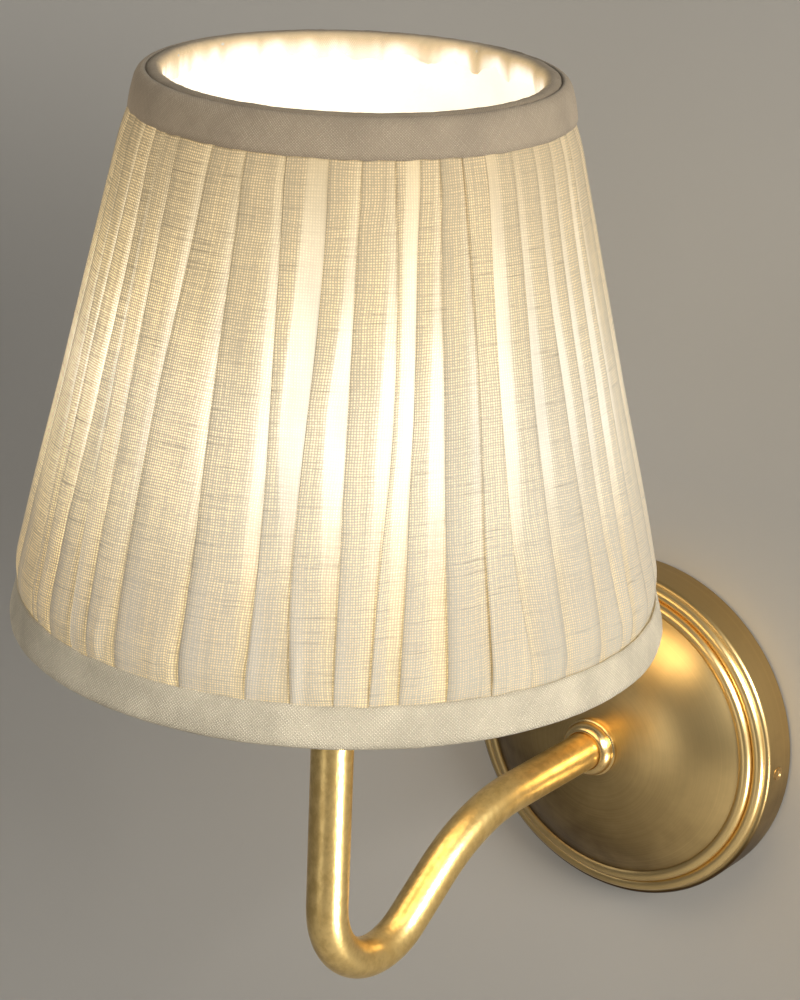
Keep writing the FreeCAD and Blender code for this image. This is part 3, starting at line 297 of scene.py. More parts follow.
def node_group(name: str, takes: dict[str, str],
               gives: Sequence[str]) -> tuple[Graph, bpy.types.Node, bpy.types.Node]:
    """Starts a shader node group with named inputs and outputs.

    Args:
        name: the group's name.
        takes: the socket type of each input, by name.
        gives: the names of its outputs, all values.

    Returns:
        The group's graph, its input node and its output node.
    """
    tree = bpy.data.node_groups.new(name, "ShaderNodeTree")
    for label, kind in takes.items():
        tree.interface.new_socket(name=label, in_out="INPUT", socket_type=kind)
    for label in gives:
        tree.interface.new_socket(name=label, in_out="OUTPUT", socket_type="NodeSocketFloat")
    graph = Graph(tree)
    return graph, graph.node("NodeGroupInput"), graph.node("NodeGroupOutput")


def weave_group() -> bpy.types.NodeTree:
    """Builds the plain weave: the gaps between threads, the thick threads and the height.

    Returns:
        The group. Its Vector is a place on the cloth in metres and its Pitch the width of a thread.
    """
    graph, takes, gives = node_group("Plain weave",
                                     {"Vector": "NodeSocketVector", "Pitch": "NodeSocketFloat"},
                                     ("Gaps", "Thick threads", "Height"))
    place = graph.vector("DIVIDE", takes.outputs["Vector"], takes.outputs["Pitch"])
    drift = graph.node("ShaderNodeTexNoise", {"Vector": place, "Scale": 0.045, "Detail": 1.0})
    drifted = graph.vector("MULTIPLY_ADD", drift.outputs["Color"], (2.2, 2.2, 0.0), place)
    cut = graph.node("ShaderNodeSeparateXYZ", {0: drifted})
    turns = (graph.math("MULTIPLY", cut.outputs[n], math.pi) for n in range(2))
    across, along = (graph.math("ABSOLUTE", graph.math("SINE", turn)) for turn in turns)
    opening = graph.math("POWER", graph.math("MULTIPLY", across, along), 1.3)
    weft = graph.noise(graph.stretched(place, (0.035, 1.0, 1.0)), 0.9, 3.0, 0.65)
    warp = graph.noise(graph.stretched(place, (1.0, 0.02, 1.0)), 0.8, 2.0, 0.6)
    crowding = graph.between(graph.math("ADD", weft, warp), 0.65, 1.3, 1.25, 0.5)
    uneven = graph.between(graph.noise(place, 0.9, 1.0), 0.3, 0.7, 0.7, 1.25)
    crowded = graph.math("MULTIPLY", opening, crowding)
    graph.join(graph.math("MULTIPLY", crowded, uneven), gives.inputs["Gaps"])
    thick_warp = graph.math("MULTIPLY", graph.between(warp, 0.62, 0.8), 0.4)
    thick = graph.math("ADD", graph.between(weft, 0.58, 0.74), thick_warp, clamp=True)
    graph.join(thick, gives.inputs["Thick threads"])
    raised = graph.math("MULTIPLY", graph.math("SUBTRACT", 1.0, opening), 0.7)
    graph.join(graph.math("ADD", raised, graph.math("MULTIPLY", weft, 0.5)), gives.inputs["Height"])
    return graph.tree


def patina_group() -> bpy.types.NodeTree:
    """Builds the aged metal: cloudy tone, small bright wear, fine grain and a soft hammered relief.

    Returns:
        The group. Its Vector is a place on the piece in metres and its Cell the width of a cloud.
    """
    graph, takes, gives = node_group("Patina", {"Vector": "NodeSocketVector", "Cell": "NodeSocketFloat"},
                                     ("Tone", "Wear", "Grain", "Relief"))
    place = graph.vector("DIVIDE", takes.outputs["Vector"], takes.outputs["Cell"])
    clouds = graph.noise(place, 0.6, 4.0, 0.6)
    graph.join(graph.between(clouds, 0.34, 0.66), gives.inputs["Tone"])
    specks = graph.noise(place, 4.2, 3.0, 0.7)
    graph.join(graph.between(specks, 0.56, 0.72), gives.inputs["Wear"])
    graph.join(graph.noise(place, 11.0, 2.0, 0.6), gives.inputs["Grain"])
    dents = graph.noise(place, 1.5, 1.0, 0.4)
    graph.join(graph.math("ADD", dents, graph.math("MULTIPLY", specks, 0.15)), gives.inputs["Relief"])
    return graph.tree


@dataclass(frozen=True)
class Finish:
    """A material: its name and the graph that its own build method fills."""

    name: str

    def material(self) -> bpy.types.Material:
        """Builds the material once and gives the same one afterwards.

        Returns:
            The material.
        """
        found = bpy.data.materials.get(self.name)
        if found:
            return found
        made = bpy.data.materials.new(self.name)
        made.use_nodes = True
        made.node_tree.nodes.clear()
        graph = Graph(made.node_tree)
        shader = graph.node("ShaderNodeBsdfPrincipled")
        graph.node("ShaderNodeOutputMaterial", {"Surface": shader.outputs[0]})
        self.build(graph, shader)
        made.cycles.emission_sampling = "NONE"
        return made

    def build(self, graph: Graph, shader: bpy.types.Node) -> None:
        """Fills the graph; each kind of finish has its own.

        Args:
            graph: the material's graph.
            shader: its shader.
        """
        raise NotImplementedError

    @staticmethod
    def group(graph: Graph, build: Callable[[], bpy.types.NodeTree], name: str,
              feeds: dict[Any, Value]) -> bpy.types.Node:
        """Places a shared node group, building it the first time.

        Args:
            graph: the graph that it goes into.
            build: builds the group.
            name: the group's name.
            feeds: its inputs.

        Returns:
            The group's node.
        """
        placed = graph.node("ShaderNodeGroup", node_tree=bpy.data.node_groups.get(name) or build())
        for label, value in feeds.items():
            if isinstance(value, bpy.types.NodeSocket):
                graph.join(value, placed.inputs[label])
            else:
                placed.inputs[label].default_value = value
        return placed

    @staticmethod
    def relief(graph: Graph, shader: bpy.types.Node, height: Value, depth: float) -> None:
        """Feeds a height in 0 to 1 to the shader's normal, with the relief's depth in millimetres.

        Args:
            graph: the material's graph.
            shader: its shader.
            height: the height.
            depth: the relief's depth.
        """
        bump = graph.node("ShaderNodeBump", {"Height": height, "Distance": depth * MM, "Strength": 1.0})
        graph.join(bump.outputs[0], shader.inputs["Normal"])


@dataclass(frozen=True)
class MetalFinish(Finish):
    """Satin metal with a cloudy patina.

    Attributes:
        dark: its colour where it has aged, and where shade is painted.
        bright: its colour where wear and handling brighten it, and where light is painted.
        rough: its roughness where bright and where dark.
        cell: the width of a cloud, in millimetres.
        stretch: how much finer the clouds are along each axis.
        dent: the depth of the hammered relief, in millimetres.
        spun: True when fine rings run round the wall plate's axis.
        fade: how far the tone is painted brighter along each axis, per metre: painted light and shade.
        cloud: how much of the tone the clouds make.
        wear: how much of it the small bright specks make.
        rubbed_and_lit_band: the radii, in millimetres, between which handling has kept spun metal bright and
            a highlight is painted.
        band_light_and_shade: how much brighter it is there, as a painted highlight, and how much darker
            outside, as painted shade.
        rings: how many fine rings spun metal has in a metre.
    """

    dark: Colour
    bright: Colour
    rough: tuple[float, float] = (0.28, 0.42)
    cell: float = 9.0
    stretch: tuple[float, float, float] = (1.0, 1.0, 1.0)
    dent: float = 0.05
    spun: bool = False
    fade: tuple[float, float, float] = (0.0, 0.0, 0.0)
    cloud: float = 0.55
    wear: float = 0.3
    rubbed_and_lit_band: Point | None = None
    band_light_and_shade: Point = (0.5, 0.5)
    rings: float = 2600.0

    def build(self, graph: Graph, shader: bpy.types.Node) -> None:
        """Joins the patina, and the light and shade painted along the fade, to the metal's colour, roughness
        and relief.

        Args:
            graph: the material's graph.
            shader: its shader.
        """
        place = graph.node("ShaderNodeTexCoord").outputs["Object"]
        patina = self.group(graph, patina_group, "Patina",
                            {"Vector": graph.stretched(place, self.stretch), "Cell": self.cell * MM})
        # Painted light and shade: the fade adds a slope of tone along the axes, on top of the wear specks.
        wear_and_painted_light = graph.math("MULTIPLY_ADD", patina.outputs["Wear"], self.wear,
                          graph.vector("DOT_PRODUCT", place, self.fade))
        wear_and_painted_light = graph.math("ADD", wear_and_painted_light, 0.5 - self.cloud / 2)
        tone = graph.math("MULTIPLY_ADD", patina.outputs["Tone"], self.cloud, wear_and_painted_light, clamp=True)
        height = graph.math("MULTIPLY_ADD", patina.outputs["Grain"], 0.12, patina.outputs["Relief"])
        if self.spun:
            tone, height = self.spun_marks(graph, place, tone, height)
        graph.join(graph.mix(tone, self.dark, self.bright), shader.inputs["Base Color"])
        graph.join(graph.between(tone, 0.0, 1.0, self.rough[1], self.rough[0], soft=False),
                   shader.inputs["Roughness"])
        shader.inputs["Metallic"].default_value = 1.0
        self.relief(graph, shader, height, self.dent)

    def spun_marks(self, graph: Graph, place: Value, tone: Value, height: Value) -> tuple[Value, Value]:
        """Adds the fine rings of the lathe, the beads kept bright by handling and painted brighter, and
        painted shade outside them.

        Args:
            graph: the material's graph.
            place: the place on the piece.
            tone: the patina's tone.
            height: the patina's relief.

        Returns:
            The tone and the relief with the marks in them.
        """
        cut = graph.node("ShaderNodeSeparateXYZ", {0: place})
        radius = graph.math("SQRT", graph.math("ADD", graph.math("POWER", cut.outputs[0], 2.0),
                                               graph.math("POWER", cut.outputs[2], 2.0)))
        line = graph.node("ShaderNodeCombineXYZ", {0: radius, 1: cut.outputs[1]}).outputs[0]
        rings = graph.noise(line, self.rings, 2.0, 0.6)
        if self.rubbed_and_lit_band:
            low, high = (edge * MM for edge in self.rubbed_and_lit_band)
            soft = 0.5 * MM
            bright = graph.math("MULTIPLY", graph.between(radius, low - soft, low + soft),
                                graph.between(radius, high - soft, high + soft, 1.0, 0.0))
            # Painted highlight on the beads' band, and painted shade on the skirt outside it.
            tone = graph.math("MULTIPLY_ADD", bright, self.band_light_and_shade[0], tone)
            tone = graph.math("MULTIPLY_ADD", graph.between(radius, high + 0.2 * MM, high + 1.0 * MM),
                              -self.band_light_and_shade[1], tone)
        tone = graph.math("MULTIPLY_ADD", graph.math("SUBTRACT", rings, 0.5), 0.16, tone, clamp=True)
        return tone, graph.math("MULTIPLY_ADD", rings, 0.2, height)


@dataclass(frozen=True)
class PlasticFinish(Finish):
    """Moulded plastic, paint or porcelain with faint mottling and a fine skin.

    Attributes:
        colour: its main colour.
        shade: its colour where it is grubby.
        rough: its roughness.
        fleck: the width of the mottling, in millimetres.
    """

    colour: Colour
    shade: Colour
    rough: float = 0.38
    fleck: float = 6.0

    def build(self, graph: Graph, shader: bpy.types.Node) -> None:
        """Joins the mottling to the colour, the roughness and the skin."""
        place = graph.node("ShaderNodeTexCoord").outputs["Object"]
        patina = self.group(graph, patina_group, "Patina", {"Vector": place, "Cell": self.fleck * MM})
        tone = graph.math("MULTIPLY_ADD", patina.outputs["Wear"], 0.25, graph.math(
            "MULTIPLY", patina.outputs["Tone"], 0.75), clamp=True)
        graph.join(graph.mix(tone, self.colour, self.shade), shader.inputs["Base Color"])
        graph.join(graph.between(patina.outputs["Grain"], 0.3, 0.7, self.rough - 0.05, self.rough + 0.08),
                   shader.inputs["Roughness"])
        self.relief(graph, shader, patina.outputs["Grain"], 0.012)


@dataclass(frozen=True)
class TapeFinish(Finish):
    """Woven binding tape or lining cloth, on the piece's own cloth map.

    The piece's "lamp" attribute is 1 where the lamp shines on it and -1 deep in a seam, where shade is
    painted.

    Attributes:
        thread: the colour of its threads.
        gap: the colour between them.
        pitch: the width of a thread, in millimetres.
        bias: the weave's turn on the piece, in degrees.
        glow: the light that comes through, as a colour.
        sheen: how strong its soft fuzz is.
        flare: True when the light grows white where it is strongest.
        seam: the painted shade deep in a seam, as a colour.
        white: the light's colour where it is strongest.
    """

    thread: Colour
    gap: Colour
    pitch: float = 0.5
    bias: float = 0.0
    glow: Colour | None = None
    sheen: float = 0.15
    flare: bool = False
    seam: Colour = (0.05, 0.036, 0.024)
    white: Colour = (1.0, 0.95, 0.82)

    def build(self, graph: Graph, shader: bpy.types.Node) -> None:
        """Joins the weave to the colour, the relief and the light that comes through.

        Args:
            graph: the material's graph.
            shader: its shader.
        """
        cloth = graph.node("ShaderNodeUVMap", uv_map="cloth").outputs[0]
        turn = (0, 0, math.radians(self.bias))
        biased = graph.node("ShaderNodeMapping", {"Vector": cloth, "Rotation": turn})
        weave = self.group(graph, weave_group, "Plain weave",
                           {"Vector": biased.outputs[0], "Pitch": self.pitch * MM})
        place = graph.node("ShaderNodeTexCoord").outputs["Object"]
        lamp = graph.node("ShaderNodeAttribute", attribute_name="lamp").outputs["Fac"]
        share = graph.math("MULTIPLY_ADD", weave.outputs["Thick threads"], -0.35, graph.between(
            weave.outputs["Gaps"], 0.1, 0.85), clamp=True)
        # Painted shade: the colour darkens towards the seam colour where the lamp attribute is below 0.
        deep = graph.math("MULTIPLY", graph.math("MINIMUM", lamp, 0.0), -0.8)
        colour = graph.mix(deep, graph.mix(share, self.gap, self.thread), self.seam)
        cloudy = graph.between(graph.noise(place, 90.0, 3.0), 0.3, 0.7, 0.86, 1.08)
        graph.join(graph.dimmed(colour, cloudy), shader.inputs["Base Color"])
        shader.inputs["Roughness"].default_value = 0.85
        shader.inputs["Sheen Weight"].default_value = self.sheen
        if self.glow:
            graph.join(self.light(graph, place, lamp, weave.outputs["Gaps"]), shader.inputs["Emission Color"])
            shader.inputs["Emission Strength"].default_value = 1.0
        self.relief(graph, shader, share, 0.16)

    def light(self, graph: Graph, place: Value, lamp: Value, gaps: Value) -> bpy.types.NodeSocket:
        """Works out the light that comes through.

        Args:
            graph: the material's graph.
            place: the place on the piece.
            lamp: how much of the lamp's light falls there.
            gaps: the gaps between threads.

        Returns:
            The light's colour.
        """
        light = graph.between(gaps, 0.0, 0.8, 0.88, 1.08)
        light = graph.math("MULTIPLY", light, graph.between(graph.noise(place, 60.0), 0.3, 0.7, 0.9, 1.06))
        light = graph.math("MULTIPLY", light, graph.math("MAXIMUM", lamp, 0.0))
        tint = graph.mix(graph.between(lamp, 0.55, 1.15), self.glow, self.white) if self.flare else self.glow
        return graph.dimmed(tint, light)


@dataclass(frozen=True)
class LinenMasks:
    """What the linen's light and colour are worked out from, as outputs of its graph.

    Attributes:
        place: the place on the cover.
        rise: the height, 0 at the foot and 1 at the top.
        thin: 1 where a single layer lies.
        dense: 1 where three layers lie.
        lit_puffs: 1 on the puffed folds low on the cover's left, where light is painted pale.
        gaps: the gaps between threads.
        thick: the thick threads.
    """

    place: Value
    rise: Value
    thin: Value
    dense: Value
    lit_puffs: Value
    gaps: Value
    thick: Value


@dataclass(frozen=True)
class LitLinenFinish(Finish):
    """Open linen with the lamp behind it: thin where one layer lies, darker and warmer where pleats lap.

    Attributes:
        pitch: the width of a thread, in millimetres.
        source: the middle of the light, in millimetres.
        reach: the distance at which the light has its written strength, in millimetres.
        foot: the height of the cover's lower edge, in millimetres.
        rise: the cover's height, in millimetres.
        thread: the threads' colour from the foot to the top, painted paler and cooler low down as painted
            light, and darker and warmer high up as painted shade.
        lapped: the light that comes through lapped layers, from the foot to the top.
        single: the light that comes through one layer, from the foot to the top.
        gap: the cloth's colour in its gaps.
        slub: its colour on thick threads.
        puff: the painted light on the puffed folds, as a pale colour.
        groove: the painted shade in the grooves between folds and in the creases of the lapped layers, as a
            dark colour.
    """

    pitch: float = 0.62
    source: tuple[float, float, float] = (-12.0, -166.0, 142.0)
    reach: float = 66.0
    foot: float = 82.3
    rise: float = 130.0
    thread: Stops = ((0.0, (0.48, 0.46, 0.39)), (0.2, (0.42, 0.40, 0.35)), (0.35, (0.42, 0.40, 0.35)),
                     (0.6, (0.38, 0.34, 0.26)), (1.0, (0.36, 0.29, 0.18)))
    lapped: Stops = ((0.0, (0.38, 0.26, 0.10)), (0.14, (0.40, 0.27, 0.105)), (0.33, (0.50, 0.375, 0.185)),
                     (0.52, (0.55, 0.43, 0.25)), (0.71, (0.48, 0.35, 0.165)), (1.0, (0.32, 0.22, 0.10)))
    single: Stops = ((0.0, (0.84, 0.62, 0.28)), (0.22, (0.92, 0.71, 0.39)), (0.45, (1.02, 0.94, 0.76)),
                     (0.62, (1.04, 0.96, 0.76)), (0.78, (0.92, 0.78, 0.54)), (1.0, (0.60, 0.44, 0.21)))
    gap: Colour = (0.16, 0.12, 0.07)
    slub: Colour = (0.20, 0.15, 0.09)
    # Painted light and shade: puff pales the puffed folds and groove darkens the grooves and creases.
    puff: Colour = (0.70, 0.66, 0.58)
    groove: Colour = (0.12, 0.085, 0.045)

    def build(self, graph: Graph, shader: bpy.types.Node) -> None:
        """Joins the lamp's light, the lapped layers and the weave to the cloth's colour and glow.

        Args:
            graph: the material's graph.
            shader: its shader.
        """
        cloth = graph.node("ShaderNodeUVMap", uv_map="cloth").outputs[0]
        weave = self.group(graph, weave_group, "Plain weave", {"Vector": cloth, "Pitch": self.pitch * MM})
        masks = self.masks(graph, weave.outputs["Gaps"], weave.outputs["Thick threads"])
        lapped, single = graph.ramp(masks.rise, self.lapped), graph.ramp(masks.rise, self.single)
        colour = graph.mix(masks.thin, lapped, single)
        glow = graph.math("MULTIPLY", self.light(graph, masks), self.grid(graph, masks))
        graph.join(graph.dimmed(colour, glow), shader.inputs["Emission Color"])
        shader.inputs["Emission Strength"].default_value = 1.0
        graph.join(self.threads(graph, masks), shader.inputs["Base Color"])
        shader.inputs["Roughness"].default_value = 0.9
        shader.inputs["Sheen Weight"].default_value = 0.1
        self.relief(graph, shader, weave.outputs["Height"], 0.10)

    def masks(self, graph: Graph, gaps: Value, thick: Value) -> LinenMasks:
        """Reads the cover's layers and heights.

        Args:
            graph: the material's graph.
            gaps: the gaps between threads.
            thick: the thick threads.

        Returns:
            The masks.
        """
        layer = graph.node("ShaderNodeAttribute", attribute_name="layer").outputs["Fac"]
        thin = graph.math("MAXIMUM", layer, 0.0, clamp=True)
        dense = graph.math("MULTIPLY", graph.math("MINIMUM", layer, 0.0), -1.0, clamp=True)
        place = graph.node("ShaderNodeTexCoord").outputs["Object"]
        cut = graph.node("ShaderNodeSeparateXYZ", {0: place})
        rise = graph.between(cut.outputs[2], self.foot * MM, (self.foot + self.rise) * MM, soft=False)
        # Painted light: lit_puffs marks the puffed folds low on the cover's left that are painted pale.
        lit_puffs = graph.math("MULTIPLY", graph.between(dense, 0.1, 0.75), graph.between(rise, 0.36, 0.16))
        lit_puffs = graph.math("MULTIPLY", lit_puffs, graph.between(cut.outputs[0], 0.03, 0.066, 1.0, 0.12))
        return LinenMasks(place, rise, thin, dense, lit_puffs, gaps, thick)

    def light(self, graph: Graph, masks: LinenMasks) -> bpy.types.NodeSocket:
        """Works out how much of the lamp's light reaches the cloth and comes through its layers.

        Args:
            graph: the material's graph.
            masks: the cloth's masks.

        Returns:
            The share of light.
        """
        away = graph.vector("DISTANCE", masks.place, tuple(part * MM for part in self.source))
        light = graph.math("DIVIDE", self.reach * MM, away)
        folds = graph.noise(graph.stretched(masks.place, (1.0, 1.0, 0.22)), 150.0, 2.0)
        packed = graph.math("POWER", masks.dense, 2.2)
        tone = graph.node("ShaderNodeAttribute", attribute_name="tone").outputs["Fac"]
        for share in (graph.between(folds, 0.3, 0.7, 0.9, 1.1),
                      graph.between(packed, 0.0, 1.0, 1.0, 0.7, soft=False),
                      graph.math("MULTIPLY_ADD", tone, 0.16, 1.0),
                      graph.math("MULTIPLY_ADD", masks.lit_puffs, -0.25, 1.0)):
            light = graph.math("MULTIPLY", light, share)
        return light

    def grid(self, graph: Graph, masks: LinenMasks) -> bpy.types.NodeSocket:
        """Works out the grid of bright gaps, which is washed out where one layer lies high up.

        Args:
            graph: the material's graph.
            masks: the cloth's masks.

        Returns:
            The share of light that the grid lets through.
        """
        holes = graph.between(masks.gaps, 0.05, 0.9, 0.46, 2.1)
        grid = graph.math("MULTIPLY", holes, graph.between(masks.thick, 0.0, 1.0, 1.0, 0.5))
        washed = graph.math("MULTIPLY", masks.thin, graph.between(masks.rise, 0.2, 0.5, 0.45, 0.85))
        return graph.math("MULTIPLY_ADD", grid, graph.math("SUBTRACT", 1.0, washed), washed)

    def threads(self, graph: Graph, masks: LinenMasks) -> bpy.types.NodeSocket:
        """Works out the cloth's colour, with painted light on the puffed folds and painted shade in the
        grooves and creases.
        """
        colour = graph.ramp(masks.rise, self.thread)
        colour = graph.mix(graph.between(masks.gaps, 0.0, 0.9, 0.0, 0.3), colour, self.gap)
        colour = graph.mix(graph.math("MULTIPLY", masks.thick, 0.45), colour, self.slub)
        # Painted light: the puffed folds are paled towards the puff colour.
        colour = graph.mix(graph.math("MULTIPLY", masks.lit_puffs, 0.5), colour, self.puff)
        # Painted shade: the single layers and the creases beside lapped layers take the dark groove colour.
        painted_crease_shade = graph.math("MULTIPLY", graph.math("POWER", masks.dense, 6.0), 0.2)
        return graph.mix(graph.math("MULTIPLY_ADD", masks.thin, 0.55, painted_crease_shade), colour, self.groove)


@dataclass(frozen=True)
class GlassFinish(Finish):
    """Clear lamp glass with a faint warm tint."""

    tint: Colour = (1.0, 0.97, 0.92)
    streak: Colour = (0.96, 0.91, 0.83)

    def build(self, graph: Graph, shader: bpy.types.Node) -> None:
        """Sets clear glass with faint mould streaks.

        Args:
            graph: the material's graph.
            shader: its shader.
        """
        place = graph.node("ShaderNodeTexCoord").outputs["Object"]
        streaks = graph.noise(graph.stretched(place, (1.0, 1.0, 0.2)), 140.0, 2.0)
        graph.join(graph.mix(graph.between(streaks, 0.4, 0.7), self.tint, self.streak),
                   shader.inputs["Base Color"])
        graph.join(graph.between(streaks, 0.3, 0.7, 0.02, 0.05), shader.inputs["Roughness"])
        shader.inputs["Transmission Weight"].default_value = 1.0
        shader.inputs["IOR"].default_value = 1.12


@dataclass(frozen=True)
class GlowFinish(Finish):
    """A filament that glows, brighter in its middle."""

    hot: Colour = (1.0, 0.78, 0.42)
    cool: Colour = (1.0, 0.52, 0.16)
    strength: float = 9.0

    def build(self, graph: Graph, shader: bpy.types.Node) -> None:
        """Sets the glow, with small darker turns along the filament.

        Args:
            graph: the material's graph.
            shader: its shader.
        """
        place = graph.node("ShaderNodeTexCoord").outputs["Object"]
        turns = graph.noise(graph.stretched(place, (0.2, 0.2, 1.0)), 1500.0, 1.0)
        glow = graph.mix(graph.between(turns, 0.35, 0.65), self.cool, self.hot)
        graph.join(glow, shader.inputs["Emission Color"])
        graph.join(glow, shader.inputs["Base Color"])
        shader.inputs["Emission Strength"].default_value = self.strength


# Aged brass: its tone is painted brighter to the right and upwards and darker low down and to the left, as
# painted light and shade.
AGED_BRASS = MetalFinish("Aged brass", (0.07, 0.038, 0.011), (0.84, 0.61, 0.27), (0.28, 0.40), 16.0,
                         dent=0.02, spun=True, fade=(7.5, 0.0, 9.0), cloud=0.16, wear=0.0,
                         rubbed_and_lit_band=(42.6, 49.0))
ARM_BRASS = MetalFinish("Arm brass", (0.56, 0.37, 0.125), (0.97, 0.72, 0.30), (0.27, 0.37), 1.6,
                        (1.0, 0.7, 0.7), 0.06, cloud=0.5, wear=0.12)
BRIGHT_BRASS = MetalFinish("Collar brass", (0.58, 0.38, 0.14), (0.86, 0.63, 0.29), (0.2, 0.3), 6.0, dent=0.03)
SCREW_BRASS = MetalFinish("Screw brass", (0.34, 0.21, 0.08), (0.60, 0.41, 0.18), (0.3, 0.42), 2.0, dent=0.02)
SPRING_BRASS = MetalFinish("Spring brass", (0.52, 0.36, 0.14), (0.80, 0.60, 0.28), (0.22, 0.34), 4.0,
                           dent=0.02)
ZINC = MetalFinish("Zinc steel", (0.34, 0.35, 0.36), (0.62, 0.62, 0.60), (0.3, 0.45), 7.0, dent=0.02)
NICKEL = MetalFinish("Nickel cap", (0.48, 0.46, 0.42), (0.80, 0.78, 0.72), (0.16, 0.28), 4.0, dent=0.015)
WIRE = MetalFinish("Frame wire", (0.50, 0.50, 0.48), (0.78, 0.78, 0.74), (0.3, 0.42), 5.0, dent=0.02)
IVORY = PlasticFinish("Ivory plastic", (0.66, 0.58, 0.42), (0.54, 0.44, 0.28), 0.42, 9.0)
WHITE = PlasticFinish("White plastic", (0.74, 0.73, 0.69), (0.60, 0.58, 0.52), 0.36)
BLACK = PlasticFinish("Black insulator", (0.018, 0.018, 0.02), (0.045, 0.042, 0.04), 0.3, 3.0)
STEM_GLASS = PlasticFinish("Stem glass", (0.72, 0.74, 0.72), (0.55, 0.58, 0.58), 0.12, 5.0)
BROWN_WIRE = PlasticFinish("Brown insulation", (0.13, 0.05, 0.02), (0.08, 0.03, 0.015), 0.45, 4.0)
BLUE_WIRE = PlasticFinish("Blue insulation", (0.02, 0.10, 0.34), (0.015, 0.06, 0.22), 0.45, 4.0)
EARTH_WIRE = PlasticFinish("Earth insulation", (0.08, 0.32, 0.05), (0.70, 0.62, 0.06), 0.45, 3.0)
LINEN = LitLinenFinish("Pleated linen")
LINING = TapeFinish("Lining cloth", (0.66, 0.62, 0.52), (0.56, 0.51, 0.41), 0.34, glow=(1.0, 0.92, 0.74))
PALE_TAPE = TapeFinish("Pale binding", (0.86, 0.78, 0.61), (0.58, 0.515, 0.38), 0.54, 45.0,
                       glow=(0.60, 0.45, 0.26), sheen=0.05)
GREY_TAPE = TapeFinish("Grey binding", (0.375, 0.31, 0.22), (0.235, 0.19, 0.13), 0.46, 45.0,
                       glow=(0.80, 0.58, 0.36), sheen=0.05)
RAGGED_LINING = TapeFinish("Turned lining", (0.46, 0.37, 0.25), (0.31, 0.24, 0.155), 0.40, 45.0,
                           glow=(0.78, 0.55, 0.27), sheen=0.05, flare=True)


def dress(obj: bpy.types.Object, finish: Finish) -> None:
    """Gives a piece or a carried-over node one finish all over."""
    if not obj.material_slots:
        obj.data.materials.append(None)
    for slot in obj.material_slots:
        slot.material = finish.material()


def keep(obj: bpy.types.Object, body: str, finish: Finish, slot: str, *nodes: str) -> bpy.types.Object:
    """Finishes a new piece, sets what it rides on and which nodes it stands for.

    Args:
        obj: the piece.
        body: the body that it moves with.
        finish: its finish.
        slot: the record's material slot; not used.
        nodes: the nodes that it replaces.

    Returns:
        The piece.
    """
    dress(obj, finish)
    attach(obj, body)
    if nodes:
        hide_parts(*nodes)
    LOG.info("%s on %s, %d faces", obj.name, body, len(obj.data.polygons))
    return obj


# ------------------------------------------------------------------ shade
@dataclass
class ShadeCone:
    """The shade's outer cone, in millimetres."""

    bottom_height: float = 78.8
    bottom_radius: float = 80.4
    top_height: float = 215.8
    top_radius: float = 48.9

    def radius(self, height: float, inset: float = 0.0) -> float:
        """Gives the radius at a height, less an inset."""
        share = (height - self.bottom_height) / (self.top_height - self.bottom_height)
        return self.bottom_radius + (self.top_radius - self.bottom_radius) * share - inset


@dataclass(frozen=True)
class Fold:
    """One standing fold of the cover.

    Attributes:
        side: which edge of its pleat it is.
        bearing: its bearing in degrees at the cover's five levels, from the top down.
        thin: the width in degrees of the single layer between it and the next fold, at the same levels.
    """

    side: Side
    bearing: tuple[float, float, float, float, float]
    thin: tuple[float, float, float, float, float]


